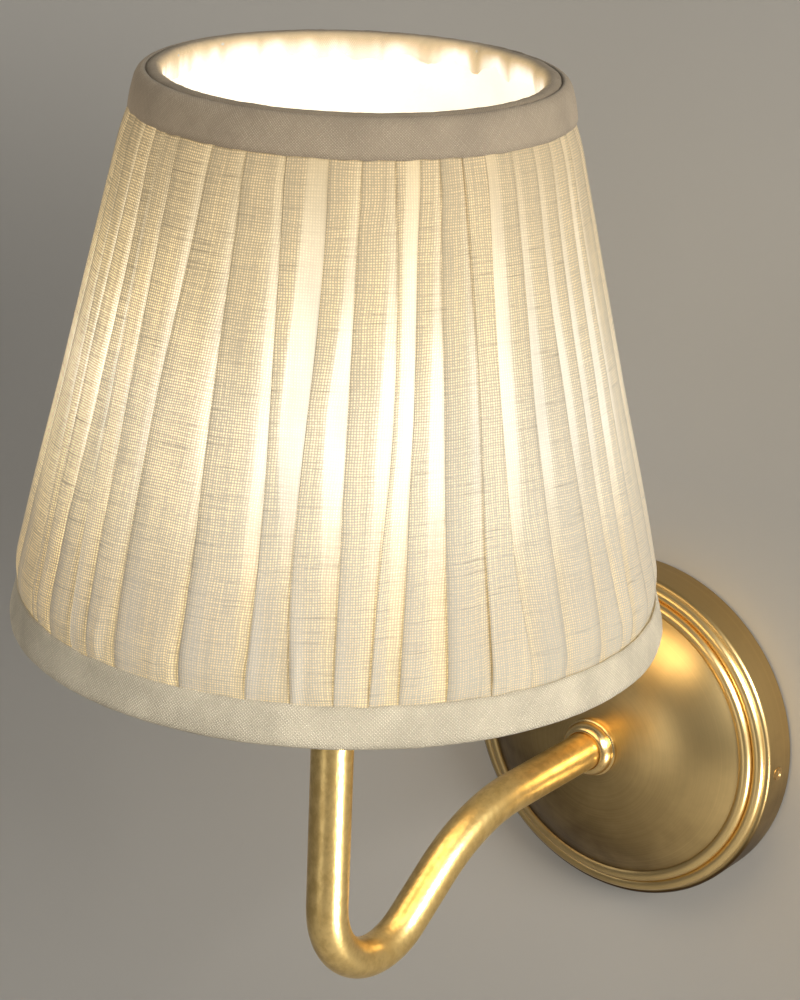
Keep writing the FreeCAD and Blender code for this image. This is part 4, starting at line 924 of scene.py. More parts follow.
L, R = Side.LEFT, Side.RIGHT
FRONT_FOLDS = (
    Fold(L, (-124.0, -122.5, -122.0, -120.1, -118.9), (1.5, 1.5, 1.4, 1.3, 0.9)),
    Fold(L, (-115.8, -116.6, -117.5, -116.7, -116.3), (1.3, 1.2, 1.4, 1.1, 0.9)),
    Fold(L, (-110.4, -109.6, -110.4, -111.2, -111.1), (1.1, 1.1, 1.1, 1.0, 0.9)),
    Fold(L, (-105.8, -105.8, -105.7, -105.2, -103.9), (1.1, 0.9, 0.9, 0.8, 0.7)),
    Fold(L, (-100.0, -100.2, -100.5, -100.3, -99.9), (1.6, 1.5, 1.0, 1.3, 1.6)),
    Fold(L, (-88.6, -90.3, -92.8, -93.5, -92.9), (1.5, 1.4, 1.4, 1.5, 1.7)),
    Fold(L, (-79.2, -79.2, -79.5, -79.2, -79.5), (2.0, 2.0, 2.4, 2.9, 1.8)),
    Fold(L, (-68.9, -67.9, -67.3, -66.9, -67.9), (4.9, 5.6, 5.4, 2.0, 1.8)),
    Fold(L, (-58.2, -58.4, -59.9, -61.0, -60.1), (1.3, 2.1, 4.1, 3.1, 1.4)),
    Fold(L, (-50.1, -51.2, -52.1, -52.7, -53.0), (1.1, 1.7, 2.9, 1.7, 1.2)),
    Fold(L, (-42.3, -42.1, -43.2, -45.7, -47.4), (3.4, 3.4, 3.2, 2.9, 2.1)),
    Fold(L, (-35.9, -37.8, -39.3, -41.1, -42.3), (1.0, 1.5, 2.9, 3.1, 2.1)),
    Fold(L, (-30.9, -32.2, -33.0, -33.8, -34.2), (0.6, 0.9, 1.5, 1.4, 0.6)),
    Fold(L, (-25.1, -24.9, -25.2, -26.0, -25.7), (0.1, 0.1, 0.1, 0.1, 0.1)),
    Fold(R, (-18.1, -19.4, -20.1, -19.9, -17.7), (3.2, 3.9, 3.6, 2.5, 0.8)),
    Fold(R, (-9.5, -10.5, -11.4, -11.1, -9.9), (2.0, 2.4, 3.2, 2.4, 1.4)),
    Fold(R, (-1.4, -2.8, -2.4, -1.6, -0.8), (2.1, 2.6, 3.0, 1.7, 2.0)),
    Fold(R, (6.0, 3.9, 3.6, 3.9, 6.1), (1.9, 2.6, 2.9, 2.5, 2.0)),
    Fold(R, (12.7, 10.6, 10.1, 9.6, 10.5), (3.3, 3.8, 4.5, 3.9, 2.7)),
    Fold(R, (17.7, 16.4, 16.8, 17.1, 19.0), (2.4, 2.4, 2.5, 2.1, 1.7)),
)


@dataclass(frozen=True)
class Pinch:
    """A small tuck where the cover is drawn in at its foot.

    Attributes:
        bearing: its bearing, in degrees.
        wide: its width, in degrees.
        height: the height at which it fades out, in millimetres.
        depth: how deep it is, in millimetres.
    """

    bearing: float
    wide: float
    height: float
    depth: float


PINCHES = (Pinch(-96.9, 0.8, 104.0, 0.7), Pinch(-84.1, 0.75, 105.0, 0.85), Pinch(-81.3, 0.7, 102.0, 0.7),
           Pinch(-59.2, 0.9, 108.0, 0.6), Pinch(-27.4, 0.9, 106.0, 0.7), Pinch(-22.6, 0.7, 97.0, 0.6),
           Pinch(-12.4, 0.8, 102.0, 0.6), Pinch(-4.0, 0.9, 100.0, 0.6), Pinch(5.6, 0.8, 101.0, 0.5),
           Pinch(62.0, 0.9, 103.0, 0.8), Pinch(97.0, 0.8, 105.0, 0.7), Pinch(149.0, 0.9, 100.0, 0.8),
           Pinch(188.0, 0.8, 106.0, 0.7))


# Where a knife pleat's columns stand across its face, as shares of it, and how many layers lie there.
FACE_LAYERS = ((0.09, -0.95), (0.2, -0.75), (0.34, -0.5), (0.48, -0.28), (0.62, -0.08), (0.76, 0.06),
               (0.88, 0.18), (0.96, 0.34))


@dataclass
class PleatedCover:
    """The gathered linen cover: one sheet laid in knife pleats that fall both ways from a box pleat.

    Attributes:
        cone: the shade's outer cone.
        foot: the cover's lower edge.
        top: its upper edge.
        held: how much of it lies flat under each binding.
        levels: the heights at which the folds are given.
        crest: how far the flat cloth lies inside the cone at the foot, and how much less at the top.
        depth: how far the hidden folds lie under the standing ones.
        swell: how far the cloth stands out between the bindings at the foot, and how much less at the top.
        puff: how far the folds stand out from it, and how much more they do near the foot.
        bulge: how far the pleats belly out near the foot.
        lean: how far the cloth stands further out on its left than on its right.
        lap: how far a pleat runs on under the next, at the top and at the foot.
        edge: the width of a fold's rounded edge.
        easing: how far past a binding the cloth has swollen out in full.
        belly: the height below which the pleats belly out, and how much further down they do so in full.
        wander: how far a fold wanders, in degrees, and over what height.
        rows: how many rows of faces the cover has.
        slope: the length of the cloth up the cone for each millimetre of height.
        turning: the bearing at the back, in degrees, where the pleats meet.
        meeting: half the width in degrees of the single layer between the pleats where they meet.
        step: the mean width of the pleats that the front doesn't show, in degrees.
        flat: the flat cloth's length and height, in metres; not used.
    """

    cone: ShadeCone = field(default_factory=ShadeCone)
    foot: float = 82.3
    top: float = 212.3
    held: float = 5.6
    levels: tuple[float, ...] = (212.0, 181.0, 150.0, 118.0, 86.0)
    crest: Point = (0.45, 1.3)
    depth: float = 1.15
    swell: Point = (1.2, 0.8)
    puff: Point = (0.34, 0.3)
    bulge: float = 0.75
    lean: float = 0.3
    lap: Point = (3.7, 1.7)
    edge: float = 0.28
    easing: float = 9.0
    belly: Point = (146.0, 36.0)
    wander: Point = (0.22, 26.0)
    rows: int = 64
    slope: float = 1.026
    turning: float = 158.0
    meeting: float = 1.9
    step: float = 8.6
    flat: Point = (0.655, 0.1335)

    def folds(self) -> list[Fold]:
        """Gives every fold in order round the shade, with the unseen ones drawn at random.

        Returns:
            The folds.
        """
        chance = random.Random(17)

        def more(start: float, end: float, side: Side) -> list[Fold]:
            """Fills a span with folds of one side, the last of them where the sides meet.

            Args:
                start: the bearing at which it starts, in degrees.
                end: the bearing at which it ends.
                side: the folds' side.

            Returns:
                The folds.
            """
            count = max(2, round((end - start) / self.step))
            gap = (end - start) / count
            made = []
            for n in range(1, count + 1) if side is Side.RIGHT else range(count):
                middle = start + gap * n
                loose = 0.04 if n in (0, count) else 0.13
                bends = [middle + chance.uniform(-loose, loose) * gap for _ in range(2)]
                bearing = (bends[0], (bends[0] * 2 + bends[1]) / 3, (bends[0] + bends[1]) / 2 - 0.3,
                           (bends[0] + bends[1] * 2) / 3, bends[1])
                wide = chance.uniform(1.0, 1.9) if side is Side.LEFT else chance.uniform(1.2, 3.2)
                made.append(Fold(side, bearing, (wide * 0.6, wide * 0.9, wide, wide * 0.9, wide * 0.6)))
            return made

        after = more(FRONT_FOLDS[-1].bearing[2], self.turning - self.meeting, Side.RIGHT)
        before = more(self.turning + self.meeting, FRONT_FOLDS[0].bearing[2] + 360.0, Side.LEFT)
        return list(FRONT_FOLDS) + after + before

    def knife(self, start: float, end: float, thin: float, reach: float, tip: float,
              swell: Point) -> list[tuple[float, float, float]]:
        """Follows the sheet over one knife pleat, from its fold to the end of its lap.

        Args:
            start: the bearing of its fold.
            end: the bearing of the next fold, over which the sheet runs on out of sight.
            thin: the width of its single layer beside the next fold.
            reach: how far it runs on under the next pleat.
            tip: the width of a fold's rounded edge.
            swell: how far its fold stands out, and how far its face bellies out.

        Returns:
            Bearing, inset and layers (-1 three, 0 two, 1 one) at each station.
        """
        body = end - start - thin
        clear = min(1.0, 0.15 + 0.3 * thin)
        made = []
        for share, layer in ((0.0, -0.9), (tip / body, -1.0), *FACE_LAYERS):
            rounded = (0.10, -0.10)[len(made)] if len(made) < 2 else 0.0
            bellied = math.sin(math.pi * min(1.0, share + 0.06)) ** 0.8
            inset = rounded + 0.14 * share - swell[0] * (1 - share) ** 1.2 - swell[1] * bellied
            made.append((start + body * share, inset, layer))
        made += [(start + body + min(0.25, thin * 0.3), 0.2, clear * 0.86), (end - thin * 0.35, 0.26, clear),
                 (end, 0.34, clear), (end + reach * 0.5, 0.75, clear * 0.5),
                 (end + reach - tip, self.depth, 0.2), (end + reach, self.depth - 0.12, 0.2)]
        return made

    def box(self, start: float, end: float, tip: float, swell: Point) -> list[tuple[float, float, float]]:
        """Follows the sheet over the box pleat, both of whose edges are folds.

        Args:
            start: the bearing of its left fold.
            end: the bearing of its right fold.
            tip: the width of a fold's rounded edge.
            swell: how far its folds stand out, and how far its face bellies out.

        Returns:
            Bearing, inset and layers at each station.
        """
        wide = end - start
        made = [(start, 0.10 - swell[0], -1.0), (start + tip, -0.10 - swell[0], -1.0)]
        made += [(start + wide * share, -swell[0] * (1 - 0.5 * math.sin(math.pi * share)), -0.35)
                 for share in (0.09, 0.18, 0.28, 0.38, 0.5, 0.6, 0.7, 0.78, 0.85, 0.91, 0.95, 0.98)]
        return made + [(end - tip, -0.10 - swell[0], -0.8), (end, 0.10 - swell[0], -0.8)]

    def valley(self, start: float, end: float, reach: float, tip: float) -> list[tuple[float, float, float]]:
        """Follows the single layer where the pleats meet, under both of them.

        Args:
            start: the bearing of the fold before it.
            end: the bearing of the fold after it.
            reach: how far it runs on under each of them.
            tip: the width of a fold's rounded edge.

        Returns:
            Bearing, inset and layers at each station.
        """
        low, deep, steps = 0.9, self.depth, 11
        made = [(start - reach, deep - 0.12, 0.2), (start - reach + tip, deep, 0.2)]
        made += [(start + (end - start) * (n / steps), low, 1.0) for n in range(steps + 1)]
        return made + [(end + reach - tip, deep, 0.2), (end + reach, deep - 0.12, 0.2)]

    def share(self, height: float) -> float:
        """Gives a height as a share of the way from the foot to the top."""
        return (height - self.foot) / (self.top - self.foot)

    def stance(self, height: float) -> tuple[float, float, float]:
        """Gives how the cloth stands at a height.

        Args:
            height: the height, in millimetres.

        Returns:
            How far inside the cone it lies, how far its folds stand out, and how far its faces belly out.
        """
        share = self.share(height)
        free = min(height - self.foot, self.top - height) - self.held
        out = min(1.0, max(0.0, free / self.easing))
        out *= 2 - out
        crest = self.crest[0] - self.crest[1] * share ** 0.6 - out * (self.swell[0] - self.swell[1] * share)
        low = min(1.0, max(0.0, (self.belly[0] - height) / self.belly[1]))
        low *= low * (3 - 2 * low)
        return crest, out * (self.puff[0] + self.puff[1] * low), self.bulge * out * (0.12 + 0.88 * low)

    def column(self, folds: list[Fold], height: float) -> list[list[Station]]:
        """Follows the sheet round the shade at one height.

        Args:
            folds: every fold.
            height: the height, in millimetres.

        Returns:
            For each pleat, the bearing in degrees, inset, layers and pleat's tone at each of its columns.
        """
        crest, puff, belly = self.stance(height)
        radius = self.cone.radius(height)
        lap = math.degrees((self.lap[1] + (self.lap[0] - self.lap[1]) * self.share(height)) / radius)
        tip = math.degrees(self.edge / radius)
        swing, over = self.wander
        lines = [eased(self.levels, fold.bearing, height)
                 + swing * noise.noise(Vector((n * 3.7, height / over, 0.0))) for n, fold in enumerate(folds)]
        chance = random.Random(5)
        made: list[list[Station]] = []
        for n, fold in enumerate(folds):
            after = (n + 1) % len(folds)
            start, end = lines[n], lines[after] + (0.0 if after else 360.0)
            wide = end - start
            thin = min(eased(self.levels, fold.thin, height), wide * 0.75)
            tone, lift, full = chance.uniform(-1.0, 1.0), chance.uniform(0.6, 1.25), chance.uniform(0.6, 1.2)
            reach = min(lap, wide * 0.6)
            swell = (puff * lift, belly * full * min(1.0, (wide - thin) / 6.0))
            sides = (fold.side, folds[after].side)
            if sides == (Side.LEFT, Side.LEFT):
                run = self.knife(start, end, thin, reach, tip, swell)
            elif sides == (Side.RIGHT, Side.RIGHT):
                mirrored = self.knife(-end, -start, thin, reach, tip, swell)
                run = [(-bearing, inset, layers) for bearing, inset, layers in reversed(mirrored)]
            elif sides == (Side.LEFT, Side.RIGHT):
                run = self.box(start, end, tip, swell)
            else:
                run = self.valley(start, end, reach, tip)
            made.append([(bearing, crest + inset + self.tuck(bearing, height) - self.leaning(bearing),
                          layers, tone) for bearing, inset, layers in run])
        return made

    def leaning(self, bearing: float) -> float:
        """Gives how much further out the cloth stands towards its left, which faces bearing -143."""
        return self.lean * math.cos(math.radians(bearing + 143.0))

    def tuck(self, bearing: float, height: float) -> float:
        """Gives how much further in the cover lies beside its tucks, or out along them.

        Args:
            bearing: the bearing, in degrees.
            height: the height, in millimetres.

        Returns:
            The inset, in millimetres.
        """
        inset = 0.0
        over_tape, above, below = 87.0, 12.0, 3.0
        for pinch in PINCHES:
            off = (bearing - pinch.bearing) / pinch.wide
            fade = min(1.0, max(0.0, (pinch.height - height) / above))
            fade *= min(1.0, max(0.0, (height - over_tape) / below))
            if abs(off) < 3.0 and fade > 0.0:
                inset += pinch.depth * fade * (0.8 * math.exp(-(off - 1.1) ** 2) - math.exp(-off * off))
        return inset

    def build(self) -> bpy.types.Object:
        """Builds the cover from a grid whose columns follow the sheet through every pleat.

        Returns:
            The finished piece.
        """
        folds = self.folds()
        span = self.top - self.foot
        waves = [-math.cos(math.pi * (0.12 + 0.76 * n / self.rows)) for n in range(self.rows + 1)]
        heights = [self.foot + (wave - waves[0]) * span / (waves[-1] - waves[0]) for wave in waves]
        pleats = [self.column(folds, height) for height in heights]
        rings = [[station for pleat in ring for station in pleat] for ring in pleats]
        columns = len(rings[0])
        bm = bmesh.new()
        bmesh.ops.create_grid(bm, x_segments=columns, y_segments=self.rows, size=1.0)
        layer = bm.verts.layers.float.new("layer")
        tone = bm.verts.layers.float.new("tone")
        cloth = bm.loops.layers.uv.new("cloth")
        runs = self.runs(pleats, heights)
        where: dict[int, Point] = {}
        bm.verts.ensure_lookup_table()
        for vert in bm.verts:
            x = round((vert.co.x + 1.0) / 2.0 * columns)
            y = round((vert.co.y + 1.0) / 2.0 * self.rows)
            bearing, inset, layers, shade = rings[y][x % columns]
            bearing += 360.0 if x == columns else 0.0
            vert.co = on_lamp_axis(self.cone.radius(heights[y], inset), math.radians(bearing), heights[y])
            vert[layer], vert[tone] = layers, shade
            where[vert.index] = (runs[y][x] * MM, heights[y] * self.slope * MM)
        for face in bm.faces:
            for loop in face.loops:
                loop[cloth].uv = where[loop.vert.index]
        bmesh.ops.remove_doubles(bm, verts=[v for v in bm.verts if v.is_boundary], dist=SEAM)
        made = finished("pleated_linen_cover", bm, 60.0, recalculate=False)
        keep(made, "shade", LINEN, "pleated_linen", "pleated_cover")
        return made

    def runs(self, pleats: list[list[list[Station]]], heights: list[float]) -> list[list[float]]:
        """Gives each column's place along the flat cloth at every height.

        Every pleat starts at the place it has half way up, so the weave keeps its size where pleats widen.

        Args:
            pleats: the pleats' columns at every height.
            heights: the heights.

        Returns:
            The places in millimetres for each height, with one more for the seam.
        """
        def along(ring: list[list[Station]], height: float) -> list[list[float]]:
            """Measures each pleat of one height, to the start of the next.

            Args:
                ring: the pleats' columns.
                height: their height, in millimetres.

            Returns:
                Each column's place along its pleat, and the pleat's whole length.
            """
            points = [[on_lamp_axis(self.cone.radius(height, inset), math.radians(bearing), 0.0) / MM
                       for bearing, inset, _, _ in pleat] for pleat in ring]
            made = []
            for pleat, following in zip(points, points[1:] + points[:1]):
                places = [0.0]
                for a, b in zip(pleat, pleat[1:] + following[:1]):
                    places.append(places[-1] + (b - a).length)
                made.append(places)
            return made

        middle = len(pleats) // 2
        anchors = [0.0]
        for places in along(pleats[middle], heights[middle]):
            anchors.append(anchors[-1] + places[-1])
        made = []
        for ring, height in zip(pleats, heights):
            made.append([anchor + place for anchor, places in zip(anchors, along(ring, height))
                         for place in places[:-1]] + [anchors[-1]])
        return made


@dataclass
class Binding:
    """A strip of cloth folded round one of the shade's rings.

    Attributes:
        name: the piece's name.
        slot: its material slot.
        finish: its finish.
        outline: inset from the cone, height and lamp light across the strip, from its outer edge to its hem;
        the light is 1 where the lamp shines on it and -1 deep in a seam, where shade is painted.
        wall: its thickness.
        ripple: how far its outer edge, its face and its hem wander.
        ring: the node that it is folded round; not used.
        flat: its flat length and width, in metres; not used.
        seed: where its ripples are drawn from.
        node: the node that it replaces, if any.
        ragged: how far its hem hangs down in uneven flaps.
        cone: the shade's outer cone.
        steps: how many runs it has round the ring.
    """

    name: str
    slot: str
    finish: Finish
    outline: tuple[tuple[float, float, float], ...]
    wall: float
    ripple: tuple[float, float, float]
    ring: str
    flat: Point
    seed: float
    node: str = ""
    ragged: float = 0.0
    cone: ShadeCone = field(default_factory=ShadeCone)
    steps: int = 432

    def build(self) -> bpy.types.Object:
        """Spins the folded strip and lets its edges wander.

        Returns:
            The finished piece.
        """
        outline = [(self.cone.radius(height, inset), height) for inset, height, _ in self.outline]
        places = [0.0]
        for a, b in zip(outline, outline[1:]):
            places.append(places[-1] + math.dist(a, b))
        bm = turned(outline, Axis.LAMP, self.steps, closed=False)
        lamp = bm.verts.layers.float.new("lamp")
        rows: dict[int, int] = {}
        for n, vert in enumerate(bm.verts):
            vert.index = n
            spot = (math.hypot(vert.co.x, vert.co.y - LAMP_DEPTH * MM) / MM, vert.co.z / MM)
            rows[n] = min(range(len(outline)), key=lambda k: math.dist(outline[k], spot))
            vert[lamp] = self.outline[rows[n]][2]
        wraps = TURN * outline[0][0] * MM
        near = {tuple(vert.co): places[rows[vert.index]] * MM for vert in bm.verts}
        draped_uv(bm, lambda co: (self.bearing(co) / TURN * wraps, near[tuple(co)]), wraps)
        bmesh.ops.recalc_face_normals(bm, faces=bm.faces)
        for vert in bm.verts:
            self.wander(vert, lamp, places[rows[vert.index]] / places[-1])
        made = finished(self.name, bm, 80.0, recalculate=False)
        thickened(made, self.wall)
        keep(made, "shade", self.finish, self.slot, *([self.node] if self.node else []))
        return made

    @staticmethod
    def bearing(place: Vector) -> float:
        """Gives the bearing of a place in metres, in radians."""
        return math.atan2(place.y - LAMP_DEPTH * MM, place.x)

    def wander(self, vert: bmesh.types.BMVert, lamp: Any, share: float) -> None:
        """Moves one vertex a little from its folded place, and varies the light on a ragged hem.

        Args:
            vert: the vertex.
            lamp: the layer that holds the lamp's light.
            share: its place across the strip, 0 at the outer edge and 1 at the hem.
        """
        edge, face, hem = self.ripple
        bearing = self.bearing(vert.co)
        outward = Vector((math.cos(bearing), math.sin(bearing), 0.0))
        spot = outward * 9.0 + Vector((0.0, 0.0, self.seed))
        fine = outward * 34.0 + Vector((0.0, 0.0, self.seed + share * 3.0))
        rolling = noise.noise(spot) + 0.7 * noise.noise(fine)
        out = face * rolling * math.sin(math.pi * min(1.0, share * 1.3))
        rise = edge * noise.noise(spot * 1.7) * (1 - share) ** 3 + hem * noise.noise(fine * 0.8) * share ** 4
        if self.ragged:
            flap = max(0.0, 0.35 + noise.noise(spot * 0.9)) + max(0.0, 0.5 * noise.noise(spot * 2.6))
            rise -= self.ragged * flap * max(0.0, share - 0.55) / 0.45
            out += 0.5 * noise.noise(fine * 0.6) * share - 0.5 * flap * max(0.0, share - 0.7)
            if share > 0.5:
                vert[lamp] *= (1.0 + 0.16 * noise.noise(spot * 1.1) - 0.3 * max(0.0, flap - 0.35)
                               - 0.5 * max(0.0, noise.noise(spot * 0.4) - 0.12))
        vert.co += (outward * out + Vector((0.0, 0.0, rise))) * MM


@dataclass
class ShadeLining:
    """The smooth lining inside the frame, with small puckers near its upper edge.

    Attributes:
        cone: the shade's outer cone.
        foot: the lining's lower edge.
        top: its upper edge.
        inset: how far it lies inside the cone.
        wall: its thickness.
        rows: how many rows of faces it has.
        columns: how many columns of faces it has.
        slope: the length of the cloth up the cone for each millimetre of height.
        girth: the mean radius that its cloth map is laid out at.
        puckered: how far up it the puckers start, as a share of its height.
        flat: the sides of its flat piece, in metres; not used.
        area: the flat piece's area, in square metres; not used.
    """

    cone: ShadeCone = field(default_factory=ShadeCone)
    foot: float = 82.3
    top: float = 212.4
    inset: float = 4.55
    wall: float = 0.4
    rows: int = 30
    columns: int = 300
    slope: float = 1.026
    girth: float = 60.0
    puckered: float = 0.55
    flat: Point = (0.475, 0.134)
    area: float = 0.0508

    def build(self) -> bpy.types.Object:
        """Rolls a grid into the lining's cone.

        Returns:
            The finished piece.
        """
        bm = bmesh.new()
        bmesh.ops.create_grid(bm, x_segments=self.columns, y_segments=self.rows, size=1.0)
        cloth = bm.loops.layers.uv.new("cloth")
        lamp = bm.verts.layers.float.new("lamp")
        where: dict[int, Point] = {}
        for vert in bm.verts:
            vert[lamp] = 1.0
            share = (vert.co.y + 1.0) / 2.0
            bearing = (vert.co.x + 1.0) / 2.0 * TURN
            height = self.foot + (self.top - self.foot) * share
            near = max(0.0, (share - self.puckered) / (1.0 - self.puckered)) ** 2
            spot = Vector((math.cos(bearing) * 6.5, math.sin(bearing) * 6.5, height / 60.0))
            pucker = 0.10 * noise.noise(spot) + 0.32 * near * noise.noise(spot * 2.3)
            where[vert.index] = (bearing * self.girth * MM, height * self.slope * MM)
            vert.co = on_lamp_axis(self.cone.radius(height, self.inset + pucker), bearing, height)
        for face in bm.faces:
            for loop in face.loops:
                loop[cloth].uv = where[loop.vert.index]
        bmesh.ops.remove_doubles(bm, verts=[v for v in bm.verts if v.is_boundary], dist=SEAM)
        made = finished("shade_lining", bm, 80.0, recalculate=False)
        thickened(made, self.wall)
        keep(made, "shade", LINING, "lining_cloth", "lining")
        return made


# ------------------------------------------------------------------ brass
@dataclass
class WallPlate:
    """The spun wall plate with its two beads, its collar and its side screws, in millimetres.

    Attributes:
        radius: its radius.
        wall: its thickness.
        skirt: the skirt's depth.
        corner: the radius of the skirt's corner.
        groove: radius and depth of the groove between the beads.
        dome_edge: radius and depth of the dome's edge.
        flat_radius: the radius of the flat in the dome's middle.
        depth: its whole depth.
        hole: the radius of the hole for the arm.
        bead: the radii of the outer and the inner bead.
        dome_curve: the radius of the dome's curve.
        collar_radius: the collar's radius.
        collar_front: how far out of the wall the collar ends.
        screw_depth: how far from the wall the side screws are.
        screw_head: the radius and the height of a screw's head.
        sunk: how far a head's middle stands inside the plate's edge.
        rim: the widths of the head's flat rim and of the slope inside it, as shares of its radius.
        taper: a head's outer face, as a share of its width at the plate.
        dish: how deep a head is dished, as a share of its height.
    """

    radius: float = 50.5
    wall: float = 1.2
    skirt: float = 12.0
    corner: float = 1.4
    groove: Point = (45.7, 13.0)
    dome_edge: Point = (42.3, 14.8)
    flat_radius: float = 9.0
    depth: float = 26.0
    hole: float = 5.55
    bead: tuple[float, float] = (1.88, 2.04)
    dome_curve: float = 55.1
    collar_radius: float = 8.5
    collar_front: float = 30.8
    screw_depth: float = 6.6
    screw_head: Point = (2.15, 1.1)
    sunk: float = 0.2
    rim: Point = (0.34, 0.16)
    taper: float = 0.86
    dish: float = 0.45

    def plate(self) -> bpy.types.Object:
        """Turns the plate: skirt, two beads, dome and the wall inside.

        Returns:
            The finished piece.
        """
        foot = (self.radius - self.corner, -self.skirt)
        groove, edge = (self.groove[0], -self.groove[1]), (self.dome_edge[0], -self.dome_edge[1])
        outline = [(self.radius, 0.0), (self.radius, self.corner - self.skirt)]
        outline += arc(outline[-1], foot, self.corner, steps=8)
        outline += arc(foot, groove, self.bead[0], steps=12) + arc(groove, edge, self.bead[1], steps=12)
        outline += arc(edge, (self.flat_radius, -self.depth), self.dome_curve, steps=24)
        outline += [(self.hole, -self.depth), (self.hole, self.wall - self.depth)]
        inner = (self.flat_radius, self.wall - self.depth)
        outline += [inner] + arc(inner, (edge[0], edge[1] + self.wall), self.dome_curve, False, 16)
        outline += [(groove[0], groove[1] + self.wall), (self.radius - self.wall, self.wall - self.skirt),
                    (self.radius - self.wall, 0.0)]
        made = finished("wall_plate", turned(outline, Axis.WALL, 192), 35.0)
        return keep(made, "root", AGED_BRASS, "aged_brass", "canopy")

    def collar(self) -> bpy.types.Object:
        """Turns the collar where the arm leaves the plate.

        Returns:
            The finished piece.
        """
        wide, foot, front = self.collar_radius, -self.depth, -self.collar_front
        shoulder = (wide - 0.5, foot - 1.45)
        outline = [(self.hole, foot), (wide, foot), (wide, foot - 1.1), (wide - 0.3, foot - 1.4), shoulder]
        outline += arc(shoulder, (wide - 2.1, front), 3.4, steps=10)
        outline += [(self.hole + 0.3, front), (self.hole, front + 0.3)]
        made = finished("arm_collar_turned", turned(outline, Axis.WALL, 96), 35.0)
        return keep(made, "root", BRIGHT_BRASS, "aged_brass", "arm_collar")

    def screws(self) -> bpy.types.Object:
        """Cuts the dished heads of the two side screws.

        Returns:
            The finished piece.
        """
        radius, height = self.screw_head
        bm = bmesh.new()
        for side in (-1, 1):
            head = bmesh.ops.create_cone(bm, cap_ends=True, segments=32, radius1=radius,
                                         radius2=radius * self.taper, depth=height)["verts"]
            bmesh.ops.rotate(bm, verts=head, cent=(0, 0, 0),
                             matrix=Matrix.Rotation(side * math.pi / 2, 3, "Y"))
            place = (side * (self.radius - self.sunk), -self.screw_depth, 0.0)
            bmesh.ops.translate(bm, verts=head, vec=place)
            cap = max({face for vert in head for face in vert.link_faces},
                      key=lambda face: side * face.calc_center_median().x)
            for width, drop in zip(self.rim, (0.0, self.dish)):
                bmesh.ops.inset_individual(bm, faces=[cap], thickness=radius * width, depth=-height * drop)
        bmesh.ops.scale(bm, vec=(MM, MM, MM), verts=bm.verts)
        made = finished("side_screw_heads", bm, 30.0)
        return keep(made, "root", SCREW_BRASS, "aged_brass", "canopy_side_screws")

    def build(self) -> None:
        """Builds the plate, its collar and its screws."""
        self.plate()
        self.collar()
        self.screws()


